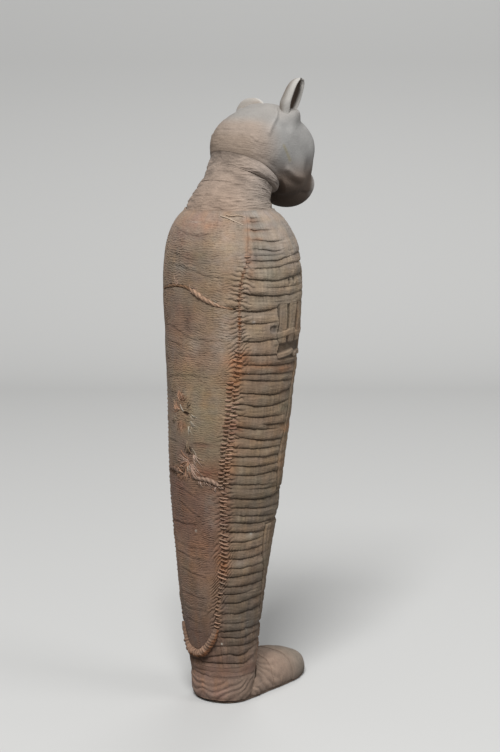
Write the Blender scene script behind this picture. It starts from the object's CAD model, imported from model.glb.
"""Looks of a wrapped Egyptian cat mummy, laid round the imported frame.

Metres, Z up, the face towards -Y and the right side at -X. Angles run round the body in degrees, from its
back (0) past its right side (90) to its front (180). Places on the wrappings are given as an angle and a
height in millimetres. Colours are linear.
"""

import itertools
import math

import bpy
import numpy as np
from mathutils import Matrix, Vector


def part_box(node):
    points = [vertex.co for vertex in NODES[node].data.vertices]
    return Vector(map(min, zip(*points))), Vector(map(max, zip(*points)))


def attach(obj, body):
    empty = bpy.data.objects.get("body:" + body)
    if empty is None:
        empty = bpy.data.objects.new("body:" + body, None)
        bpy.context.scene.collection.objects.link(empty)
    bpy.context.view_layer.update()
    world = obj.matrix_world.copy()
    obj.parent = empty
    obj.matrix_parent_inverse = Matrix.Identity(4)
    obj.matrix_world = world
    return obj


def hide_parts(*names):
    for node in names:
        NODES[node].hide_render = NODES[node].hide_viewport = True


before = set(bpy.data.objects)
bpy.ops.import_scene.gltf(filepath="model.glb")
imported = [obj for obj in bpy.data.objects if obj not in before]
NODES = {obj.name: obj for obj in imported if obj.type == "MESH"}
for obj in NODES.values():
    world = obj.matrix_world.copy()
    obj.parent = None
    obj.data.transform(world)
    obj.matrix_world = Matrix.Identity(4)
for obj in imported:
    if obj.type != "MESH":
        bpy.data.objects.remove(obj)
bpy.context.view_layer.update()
MM = 0.001

# Steps of the grids that carry the relief, their fewest cells, and every how many a hidden inside has a point
COLUMN_STEP = 0.00050
BACK_STEP = 0.00060
ROW_STEP = 0.00040
FEWEST_SHARES = 4
INSIDE_STRIDE = 8

# Layers: how deep each lies under the crests of the folds
UNDER_WRAP_DEPTH = 0.0027
BAND_DEPTH = 0.0024
CLOTH_SKIN = 0.0009
# The gap between neighbouring pieces
EDGE_GAP = 0.00005


# Numbers


def eased(t):
    """0 below 0, 1 above 1, and smooth between them."""
    t = np.clip(t, 0.0, 1.0)
    return t * t * (3.0 - 2.0 * t)


def bell(t):
    """1 at 0, and falling smoothly on both sides."""
    return np.exp(-(t**2))


def skirt(above, up, down):
    """1 on a line, and falling over a distance above it and another below it."""
    return np.exp(-abs(above) / np.where(above > 0.0, up, down))


def overhang(above):
    """How far a fold hangs down over the next one, by the millimetres above the line between them."""
    lift = np.clip(above, 0.0, None)
    return lift * np.exp(1.0 - lift)


def ridged(turns, power):
    """1 in the middle of each whole turn, and 0 at its ends."""
    return 1.0 - abs(2.0 * (turns % 1.0) - 1.0) ** power


def blended(colour, other, share):
    """A colour, or a point, that goes over to another one."""
    share = np.asarray(share)[..., None]
    return np.array(colour) * (1.0 - share) + np.array(other) * share


def stacked(*parts):
    """Points or colours from their three parts, each a number or a grid."""
    return np.stack(np.broadcast_arrays(*parts), -1)


def blank(*places):
    return np.zeros(np.broadcast(*places).shape)


def unit(vectors):
    return vectors / (np.linalg.norm(vectors, axis=-1, keepdims=True) + 1e-12)


def curve_at(at, places, values):
    """A smooth curve through values at places, flat beyond its ends."""
    places = np.asarray(places, float)
    values = np.asarray(values, float)
    at = np.clip(np.asarray(at, float), places[0], places[-1])
    slopes = np.gradient(values, places)
    i = np.clip(np.searchsorted(places, at, side="right") - 1, 0, len(places) - 2)
    width = places[i + 1] - places[i]
    t = (at - places[i]) / width
    rise = t * t * (3.0 - 2.0 * t)
    pull = (t**3 - 2.0 * t * t + t) * slopes[i] + (t**3 - t * t) * slopes[i + 1]
    return values[i] * (1.0 - rise) + values[i + 1] * rise + pull * width


def table_at(at, table):
    """Every column of a table after its first, read smoothly at places of the first."""
    rows = np.array(table, float)
    return [curve_at(at, rows[:, 0], rows[:, k]) for k in range(1, rows.shape[1])]


def hashed(seed, cells):
    """A steady random number from -1 to 1 for each cell."""
    mixed = np.full(np.shape(cells[0]), seed * 7919 + 104729, np.int64)
    for cell in cells:
        mixed = (mixed * 16777619 + (cell & 0xFFFF) * 2654435761) & 0xFFFFFFFF
        mixed ^= mixed >> 15
        mixed = (mixed * 73244475) & 0xFFFFFFFF
        mixed ^= mixed >> 13
    return (mixed & 0xFFFF) / 32767.5 - 1.0


def noise(seed, *places):
    """Smooth noise from -1 to 1 at places counted in cells."""
    places = np.broadcast_arrays(*places)
    cells = [np.floor(place).astype(np.int64) for place in places]
    eases = [eased(place - cell) for place, cell in zip(places, cells)]
    total = 0.0
    for corner in itertools.product((0, 1), repeat=len(cells)):
        weight = 1.0
        for ease, far in zip(eases, corner):
            weight = weight * (ease if far else 1.0 - ease)
        total = total + weight * hashed(seed, [cell + far for cell, far in zip(cells, corner)])
    return total


def rough_noise(seed, *places):
    """Three sizes of noise on top of one another."""
    total = 0.0
    for k in range(3):
        total = total + noise(seed + k, *[place * 2.1**k for place in places]) * 0.5**k
    return total / 1.4


# The body's outline, taken from the under wrap


def mesh_points(mesh):
    flat = np.zeros(len(mesh.vertices) * 3, np.float32)
    mesh.vertices.foreach_get("co", flat)
    return flat.reshape(-1, 3).astype(float)


def read_sections():
    """Height, half width, half depth and forward place of the crests, at each row of the under wrap."""
    points = mesh_points(NODES["under_wrap"].data)
    rows = []
    for height in np.unique(points[:, 2].round(5)):
        ring = points[abs(points[:, 2] - height) < 1e-5]
        front, back = ring[:, 1].min(), ring[:, 1].max()
        half_depth = (back - front) / 2 + UNDER_WRAP_DEPTH
        rows.append((height, ring[:, 0].max() + UNDER_WRAP_DEPTH, half_depth, -(back + front) / 2))
    return np.array(rows)


SECTIONS = read_sections()


def side_of(angle):
    """The angle of the same place on the right side."""
    return 180.0 - abs(180.0 - angle % 360.0)


def body_point(angle, height, offset):
    """Points on the wrappings. Angles in degrees, heights and offsets in millimetres."""
    half_width, half_depth, forward = table_at(height * MM, SECTIONS)
    turn = np.radians(angle)
    x = -(half_width + offset * MM) * np.sin(turn)
    y = (half_depth + offset * MM) * np.cos(turn) - forward
    return stacked(x, y, height * MM)


def degrees_of(length, height):
    """The angle that a length in millimetres takes up round the body."""
    half_width, half_depth, _ = table_at(height * MM, SECTIONS)
    return np.degrees(length * MM / ((half_width + half_depth) / 2))


# Meshes


# Edges sharper than this are drawn as edges
SHARP_FROM = math.radians(65)


def as_object(name, points, faces, tint, place):
    """A mesh object with a colour and a cloth place at each of its points."""
    mesh = bpy.data.meshes.new(name)
    mesh.from_pydata(np.asarray(points, float).tolist(), [], faces)
    mesh.validate()
    colours = np.ones((len(mesh.vertices), 4), np.float32)
    colours[:, :3] = np.clip(tint, 0.0, 1.0)
    places = np.asarray(place, np.float32)
    mesh.attributes.new("tint", "FLOAT_COLOR", "POINT").data.foreach_set("color", colours.ravel())
    mesh.attributes.new("place", "FLOAT_VECTOR", "POINT").data.foreach_set("vector", places.ravel())
    mesh.polygons.foreach_set("use_smooth", np.ones(len(mesh.polygons), bool))
    if signed_volume(mesh) < 0.0:
        mesh.flip_normals()
    mesh.set_sharp_from_angle(angle=SHARP_FROM)
    obj = bpy.data.objects.new(name, mesh)
    bpy.context.scene.collection.objects.link(obj)
    return obj


def signed_volume(mesh):
    """The volume inside a closed mesh, below 0 where its faces point inwards."""
    mesh.calc_loop_triangles()
    corners = np.zeros(len(mesh.loop_triangles) * 3, np.int32)
    mesh.loop_triangles.foreach_get("vertices", corners)
    a, b, c = mesh_points(mesh)[corners.reshape(-1, 3).T]
    return float(np.sum(a * np.cross(b, c)) / 6)


def strides(count, stride):
    """Every stride-th number below count, and the last one."""
    return np.append(np.arange(0, count - 1, stride), count - 1)


def wrapped(grid):
    """A grid with its first column again after its last."""
    return np.concatenate([grid, grid[:, :1]], 1)


def quads(grid):
    """The faces between neighbours in a grid of point numbers."""
    corners = (grid[:-1, :-1], grid[:-1, 1:], grid[1:, 1:], grid[1:, :-1])
    return np.stack(corners, -1).reshape(-1, 4).tolist()


def shell(name, outer, inner, tint, place, ring=False, stride=INSIDE_STRIDE):
    """A closed sheet between two grids of points. The hidden inside keeps only some of its points."""
    rows, columns = outer.shape[:2]
    some_rows = strides(rows, stride)
    some_columns = np.arange(0, columns, stride) if ring else strides(columns, stride)
    picked = np.ix_(some_rows, some_columns)
    outside = np.arange(rows * columns).reshape(rows, columns)
    inside = rows * columns + np.arange(len(some_rows) * len(some_columns)).reshape(len(some_rows), -1)
    if ring:
        outside, inside = wrapped(outside), wrapped(inside)
        some_columns = np.append(some_columns, columns)
    faces = quads(outside) + [face[::-1] for face in quads(inside)]

    def rim(outer_line, inner_line, picks, backwards):
        for k, (start, end) in enumerate(zip(picks[:-1], picks[1:])):
            face = [*outer_line[start : end + 1].tolist(), int(inner_line[k + 1]), int(inner_line[k])]
            faces.append(face[::-1] if backwards else face)

    rim(outside[0], inside[0], some_columns, True)
    rim(outside[-1], inside[-1], some_columns, False)
    if not ring:
        rim(outside[:, 0], inside[:, 0], some_rows, False)
        rim(outside[:, -1], inside[:, -1], some_rows, True)

    def joined(grid, inner_grid):
        return np.concatenate([grid.reshape(-1, 3), inner_grid[picked].reshape(-1, 3)])

    return as_object(name, joined(outer, inner), faces, joined(tint, tint), joined(place, place))


def capped(name, outer, tint, place):
    """A closed solid through rings of points, with a flat cap at each end."""
    grid = np.arange(outer.shape[0] * outer.shape[1]).reshape(outer.shape[:2])
    faces = quads(wrapped(grid)) + [grid[0, ::-1].tolist(), grid[-1].tolist()]
    return as_object(name, outer.reshape(-1, 3), faces, tint.reshape(-1, 3), place.reshape(-1, 3))


# Any direction that no thread runs in
THREAD_AXIS = np.array([0.31, 0.17, 0.93])


class Threads:
    """Round threads gathered into one mesh."""

    def __init__(self):
        self.points, self.faces, self.tints, self.places = [], [], [], []
        self.count = 0

    def add(self, path, radius, tint, sides=8):
        """One thread along path, its radius given for each point, with rounded ends."""
        along = unit(np.gradient(path, axis=0))
        across = unit(np.cross(along, THREAD_AXIS))
        up = np.cross(across, along)
        turn = np.linspace(0.0, 2 * math.pi, sides, endpoint=False)
        ring = across[:, None] * np.cos(turn)[None, :, None] + up[:, None] * np.sin(turn)[None, :, None]
        ends = along[[0, -1]] * radius[[0, -1], None] * 0.6
        first = path[0] - ends[0] + ring[0] * radius[0] * 0.45
        last = path[-1] + ends[1] + ring[-1] * radius[-1] * 0.45
        rows = np.concatenate([first[None], path[:, None] + ring * radius[:, None, None], last[None]])
        grid = self.count + np.arange(len(rows) * sides).reshape(-1, sides)
        self.faces += quads(wrapped(grid)) + [grid[0, ::-1].tolist(), grid[-1].tolist()]
        self.points.append(rows.reshape(-1, 3))
        self.tints.append(np.broadcast_to(tint, (rows[..., 0].size, 3)))
        reach = np.concatenate([[0.0, 0.0], np.cumsum(np.linalg.norm(np.diff(path, axis=0), axis=1))])
        reach = np.append(reach, reach[-1])[:, None]
        self.places.append(stacked(turn * radius.max(), reach, 0.0).reshape(-1, 3))
        self.count += rows[..., 0].size

    def build(self, name):
        points, tints, places = (np.concatenate(part) for part in (self.points, self.tints, self.places))
        return as_object(name, points, self.faces, tints, places)


# Materials


def new_material(name, roughness):
    material = bpy.data.materials.new(name)
    material.use_nodes = True
    tree = material.node_tree
    shader = tree.nodes["Principled BSDF"]
    shader.inputs["Roughness"].default_value = roughness
    shader.inputs["Specular IOR Level"].default_value = 0.25
    return material, tree, shader


def node(tree, kind, **values):
    made = tree.nodes.new(kind)
    for key, value in values.items():
        if key in made.inputs:
            made.inputs[key].default_value = value
        else:
            setattr(made, key, value)
    return made


def maths(tree, operation, *values):
    """A sum of sockets and numbers."""
    made = node(tree, "ShaderNodeMath", operation=operation)
    for socket, value in zip(made.inputs, values):
        if isinstance(value, (int, float)):
            socket.default_value = value
        else:
            tree.links.new(value, socket)
    return made.outputs[0]


def multiplied(tree, first, second):
    mix = node(tree, "ShaderNodeMix", data_type="RGBA", blend_type="MULTIPLY")
    mix.inputs["Factor"].default_value = 1.0
    tree.links.new(first, mix.inputs["A"])
    tree.links.new(second, mix.inputs["B"])
    return mix.outputs["Result"]


def ramped(tree, value, low, high):
    """A value turned into a colour between two."""
    ramp = node(tree, "ShaderNodeValToRGB")
    for element, colour in zip(ramp.color_ramp.elements, (low, high)):
        element.color = (*colour, 1.0)
    tree.links.new(value, ramp.inputs["Fac"])
    return ramp.outputs["Color"]


def cloudy(tree, scale, detail, roughness=0.5):
    """Noise that stays with the object."""
    texture = node(tree, "ShaderNodeTexNoise", Scale=scale, Detail=detail, Roughness=roughness)
    tree.links.new(node(tree, "ShaderNodeTexCoord").outputs["Object"], texture.inputs["Vector"])
    return texture.outputs["Fac"]


def add_bump(tree, shader, height, distance):
    bump = node(tree, "ShaderNodeBump", Strength=1.0, Distance=distance)
    tree.links.new(height, bump.inputs["Height"])
    tree.links.new(bump.outputs["Normal"], shader.inputs["Normal"])


# Height of the specks on the linen in metres, and how far its threads sway, in radians of the weave
SPECK_HEIGHT = 0.00030
THREAD_SWAY = 6.0


def linen(name, thread_width, weave_height, grain=0.10, roughness=0.92, sheen=0.08, plaster=0.0):
    """Linen with its threads. Plaster hides the weave under a smooth skin."""
    material, tree, shader = new_material(name, roughness)
    colour = node(tree, "ShaderNodeAttribute", attribute_name="tint").outputs["Color"]
    place = node(tree, "ShaderNodeAttribute", attribute_name="place").outputs["Vector"]
    specks = cloudy(tree, 900.0, 3.0, 0.6)
    patches = cloudy(tree, 120.0, 5.0, 0.65)
    dark, pale = [1.0 - 2 * grain] * 3, [1.0 + 2 * grain] * 3
    for pattern in (specks, patches):
        colour = multiplied(tree, colour, ramped(tree, pattern, dark, pale))

    axes = node(tree, "ShaderNodeSeparateXYZ")
    tree.links.new(place, axes.inputs[0])
    sway = maths(tree, "MULTIPLY", cloudy(tree, 140.0, 2.0), THREAD_SWAY)
    waves = []
    for axis in ("X", "Y"):
        turns = maths(tree, "MULTIPLY", axes.outputs[axis], 2 * math.pi / thread_width)
        waves.append(maths(tree, "SINE", maths(tree, "ADD", turns, sway)))
    weave = maths(tree, "MAXIMUM", *waves)
    between = [0.90 + 0.1 * plaster] * 3
    colour = multiplied(tree, colour, ramped(tree, weave, between, [1.0] * 3))
    tree.links.new(colour, shader.inputs["Base Color"])

    threads = maths(tree, "MULTIPLY", weave, weave_height)
    rubble = maths(tree, "MULTIPLY", specks, SPECK_HEIGHT)
    add_bump(tree, shader, maths(tree, "ADD", threads, rubble), 1.0)
    shader.inputs["Sheen Weight"].default_value = sheen
    shader.inputs["Sheen Roughness"].default_value = 0.5
    return material


def plain_stuff(name, colour, roughness, scale, contrast):
    """A mottled material for what lies inside."""
    material, tree, shader = new_material(name, roughness)
    mottle = cloudy(tree, scale, 6.0, 0.6)
    dark = [c * (1.0 - contrast) for c in colour]
    pale = [min(c * (1.0 + contrast), 1.0) for c in colour]
    tree.links.new(ramped(tree, mottle, dark, pale), shader.inputs["Base Color"])
    add_bump(tree, shader, mottle, 0.0006)
    return material


LOOKS = {
    "neck_linen": linen("neck linen", 0.00085, 0.00005),
    "back_linen": linen("back linen", 0.00085, 0.00006),
    "reddish_linen": linen("reddish linen", 0.00085, 0.00006),
    "front_linen": linen("front linen", 0.00095, 0.00006),
    "foot_linen": linen("foot linen", 0.00085, 0.00005),
    "seam_thread": linen("seam thread", 0.00080, 0.00008, grain=0.14),
    "head_plaster": linen("head plaster", 0.00070, 0.00001, 0.05, 0.78, 0.0, plaster=0.9),
}
HIDDEN_LOOKS = {
    "padding_linen": plain_stuff("padding linen", (0.36, 0.29, 0.21), 0.95, 240.0, 0.25),
    "dried_cat": plain_stuff("dried cat", (0.16, 0.10, 0.055), 0.80, 120.0, 0.40),
    "bone": plain_stuff("bone", (0.45, 0.38, 0.27), 0.70, 90.0, 0.20),
}


def dress(obj, slot, *nodes):
    """Gives a piece its material, its body and the nodes that it stands for."""
    obj.data.materials.clear()
    obj.data.materials.append(LOOKS[slot])
    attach(obj, "root")
    if nodes:
        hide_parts(*nodes)
    return obj


# Red, green and blue by height in millimetres, for the back and then for the sides and front
BACK_COLOURS = (
    (12.0, 0.275, 0.176, 0.130),
    (30.0, 0.252, 0.154, 0.109),
    (45.0, 0.191, 0.120, 0.087),
    (80.0, 0.226, 0.146, 0.101),
    (110.0, 0.254, 0.150, 0.099),
    (150.0, 0.205, 0.117, 0.078),
    (172.0, 0.236, 0.147, 0.095),
    (200.0, 0.280, 0.204, 0.135),
    (235.0, 0.297, 0.211, 0.137),
    (260.0, 0.283, 0.192, 0.131),
    (300.0, 0.270, 0.189, 0.128),
    (325.0, 0.292, 0.210, 0.148),
    (352.0, 0.327, 0.240, 0.180),
)
FRONT_COLOURS = (
    (12.0, 0.275, 0.176, 0.130),
    (35.0, 0.222, 0.146, 0.103),
    (60.0, 0.174, 0.128, 0.092),
    (90.0, 0.203, 0.145, 0.100),
    (115.0, 0.256, 0.182, 0.124),
    (150.0, 0.205, 0.153, 0.105),
    (190.0, 0.275, 0.196, 0.128),
    (225.0, 0.242, 0.172, 0.116),
    (260.0, 0.284, 0.204, 0.140),
    (300.0, 0.328, 0.253, 0.180),
    (325.0, 0.296, 0.238, 0.186),
    (352.0, 0.289, 0.240, 0.200),
)
ORANGE = (0.340, 0.130, 0.045)
PINK = (0.345, 0.205, 0.145)
PURPLE = (0.198, 0.113, 0.080)
OLIVE = (0.185, 0.158, 0.095)
GREY = (0.222, 0.190, 0.155)
PALE = (0.470, 0.410, 0.345)
REDDISH = (0.215, 0.105, 0.068)
WHITE = (0.620, 0.580, 0.520)
# Stains: angle, height, half sizes in degrees and millimetres, colour, strength
STAINS = (
    (8.0, 346.0, 34.0, 7.0, PINK, 0.75),
    (-18.0, 338.0, 14.0, 4.0, PURPLE, 0.35),
    (5.0, 337.0, 14.0, 2.5, PURPLE, 0.45),
    (-12.0, 331.0, 12.0, 5.0, PINK, 0.40),
    (0.0, 322.0, 12.0, 7.0, PURPLE, 0.45),
    (15.0, 324.0, 12.0, 5.0, OLIVE, 0.35),
    (-2.0, 314.0, 18.0, 4.0, GREY, 0.65),
    (36.0, 330.0, 13.0, 16.0, PALE, 0.36),
    (33.0, 275.0, 10.0, 22.0, PALE, 0.30),
    (-22.0, 280.0, 15.0, 9.0, PURPLE, 0.50),
    (-7.0, 285.0, 4.0, 8.0, PINK, 0.35),
    (2.0, 280.0, 5.0, 9.0, PURPLE, 0.55),
    (-22.0, 270.0, 16.0, 3.5, PURPLE, 0.60),
    (-15.0, 262.0, 14.0, 7.0, PINK, 0.35),
    (5.0, 262.0, 8.0, 5.0, PALE, 0.25),
    (10.0, 250.0, 18.0, 9.0, PINK, 0.25),
    (-28.0, 246.0, 20.0, 8.0, PURPLE, 0.35),
    (-10.0, 240.0, 22.0, 3.0, OLIVE, 0.40),
    (-25.0, 214.0, 16.0, 22.0, PURPLE, 0.40),
    (14.0, 205.0, 16.0, 26.0, OLIVE, 0.30),
    (15.0, 192.0, 12.0, 2.0, PURPLE, 0.60),
    (-6.0, 185.0, 12.0, 12.0, PURPLE, 0.45),
    (20.0, 172.0, 20.0, 4.0, REDDISH, 0.40),
    (-20.0, 160.0, 20.0, 9.0, REDDISH, 0.55),
    (26.0, 145.0, 8.0, 12.0, GREY, 0.45),
    (-20.0, 132.0, 24.0, 4.0, REDDISH, 0.45),
    (12.0, 124.0, 14.0, 8.0, REDDISH, 0.30),
    (-18.0, 101.0, 18.0, 6.0, OLIVE, 0.25),
    (-5.0, 81.0, 24.0, 3.0, PURPLE, 0.40),
    (5.0, 50.0, 20.0, 6.0, PURPLE, 0.55),
    (46.0, 247.0, 8.0, 10.0, ORANGE, 0.55),
    (50.0, 255.0, 5.0, 5.0, ORANGE, 0.45),
    (43.0, 234.0, 5.0, 10.0, ORANGE, 0.50),
    (46.0, 206.0, 8.0, 6.0, REDDISH, 0.60),
    (44.0, 190.0, 8.0, 16.0, ORANGE, 0.30),
    (42.0, 108.0, 9.0, 12.0, ORANGE, 0.50),
    (60.0, 249.0, 26.0, 2.6, ORANGE, 0.35),
    (96.0, 245.0, 14.0, 3.0, ORANGE, 0.35),
    (112.0, 201.0, 16.0, 3.5, ORANGE, 0.35),
    (112.0, 176.0, 14.0, 6.0, ORANGE, 0.22),
    (55.0, 322.0, 4.0, 20.0, ORANGE, 0.30),
    (66.0, 341.0, 9.0, 1.6, ORANGE, 0.55),
    (64.0, 347.0, 10.0, 2.5, ORANGE, 0.30),
    (84.0, 333.0, 16.0, 14.0, PALE, 0.30),
    (100.0, 216.0, 10.0, 5.0, OLIVE, 0.40),
    (78.0, 310.0, 16.0, 6.0, OLIVE, 0.25),
    (76.0, 273.0, 7.0, 5.0, GREY, 0.50),
    (70.0, 127.0, 12.0, 4.0, PALE, 0.30),
    (66.0, 107.0, 14.0, 4.0, PALE, 0.25),
    (75.0, 64.0, 20.0, 8.0, GREY, 0.45),
    (105.0, 104.0, 14.0, 12.0, OLIVE, 0.30),
    (-9.0, 221.0, 6.0, 5.0, ORANGE, 0.35),
    (-9.0, 206.0, 7.0, 7.0, ORANGE, 0.35),
    (-3.0, 178.0, 9.0, 8.0, PURPLE, 0.50),
    (-17.0, 172.0, 6.0, 4.0, ORANGE, 0.40),
    (22.0, 174.0, 16.0, 4.5, REDDISH, 0.55),
    (8.0, 130.0, 1.1, 0.8, WHITE, 0.95),
    (40.0, 47.2, 1.1, 0.7, WHITE, 0.80),
    (58.0, 279.5, 1.4, 0.8, WHITE, 0.45),
    (73.0, 129.0, 1.6, 0.9, WHITE, 0.60),
    (45.0, 348.5, 12.0, 1.0, PALE, 0.40),
    (2.0, 345.6, 9.0, 0.7, PALE, 0.25),
    (63.0, 335.0, 7.0, 1.4, ORANGE, 0.40),
)
# A stain is left out where all of a piece lies farther from it than this, in squared half sizes
STAIN_REACH = 6.0


def stained(colour, angle, height):
    """A colour with the stains on it, worked over by noise. The left side has the right side's, moved."""
    colour = np.array(colour, float)
    side = np.where(angle > 180.0, 360.0 - angle, angle)
    moved = np.where(angle > 180.0, 9.0 * noise(71, angle / 30.0, height / 30.0), 0.0)
    ragged = 1.0 + 0.5 * noise(17, angle / 4.0, height / 2.4)
    for at, level, half_angle, half_height, stain, strength in STAINS:
        away = ((side - at + moved) / half_angle) ** 2 + ((height + moved - level) / half_height) ** 2
        if away.min() < STAIN_REACH:
            colour = blended(colour, stain, np.clip(strength * np.exp(-away) * ragged, 0.0, 1.0))
    broad = 1.0 + 0.12 * rough_noise(5, angle / 14.0, height / 9.0)
    fine = 1.0 + 0.08 * rough_noise(9, angle / 2.2, height / 1.1)
    warm = 0.07 * rough_noise(13, angle / 9.0, height / 16.0) + 0.04 * noise(14, angle / 24.0, height / 4.0)
    warm = np.maximum(warm, -0.05)
    green = 0.03 * rough_noise(15, angle / 12.0, height / 7.0)
    shift = stacked(1.0 + warm, 1.0 + green, 1.0 - 1.2 * warm)
    return colour * (broad * fine)[..., None] * shift


def tint_of(angle, height, relief):
    """The colour of the wrappings. Hollows are darker and worn crests paler."""
    back = stacked(*table_at(height, BACK_COLOURS))
    front = stacked(*table_at(height, FRONT_COLOURS))
    share = eased((side_of(angle) - 38.0) / 16.0)
    colour = stained(blended(back, front, share), angle, height)
    wear = np.clip(1.06 + 0.24 * relief, 0.46, 1.14)
    return seam_tint(angle, height, colour * wear[..., None])


# Seam: angle of the join between the back and the bands, by height
SEAM = (
    (14.0, 42.0), (45.0, 38.0), (58.0, 34.5), (70.0, 35.5), (85.0, 38.0), (100.0, 41.0), (125.0, 40.5),
    (150.0, 39.0), (170.0, 40.0), (190.0, 41.5), (205.0, 43.0), (225.0, 44.5), (245.0, 45.0), (270.0, 46.5),
    (295.0, 46.0), (308.0, 48.0), (318.0, 52.0), (330.0, 54.5), (342.0, 57.5), (352.0, 60.0),
)
# Gathers beside the seam: height, half width in degrees, slope, depth
GATHERS = (
    (44.0, 5.0, 0.20, 0.0), (50.0, 6.0, 0.20, 0.3), (60.0, 7.5, -0.10, 0.8), (75.0, 8.0, -0.12, 0.8),
    (96.0, 8.5, -0.30, 0.9), (112.0, 8.5, -0.22, 0.9), (130.0, 7.5, -0.15, 0.8), (165.0, 6.5, 0.02, 0.8),
    (205.0, 7.0, 0.02, 0.8), (235.0, 5.5, -0.05, 0.7), (255.0, 7.0, -0.22, 0.8), (275.0, 6.0, -0.10, 0.7),
    (300.0, 7.5, 0.10, 0.9), (316.0, 6.5, 0.05, 0.6), (328.0, 4.0, -0.10, 0.15), (352.0, 3.0, 0.00, 0.0),
)
# How far the shoulder cloths are drawn in towards the neck: height, outside, inside
NECK_HUG = ((344.0, 0.0, 0.0), (348.0, -0.15, 0.0), (350.0, -0.70, 0.0), (350.9, -1.3, -0.1),
            (351.8, -2.2, -1.45), (352.8, -2.85, -1.45), (354.6, -3.2, -1.45))
CLOTH_TOP = 353.3
# Depth and half width of the seam's groove, then depth and pitch of the gathers
SEAM_GROOVE, GROOVE_WIDTH, GATHER_DEPTH, GATHER_PITCH = 0.25, 0.7, 1.25, 3.4

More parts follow.
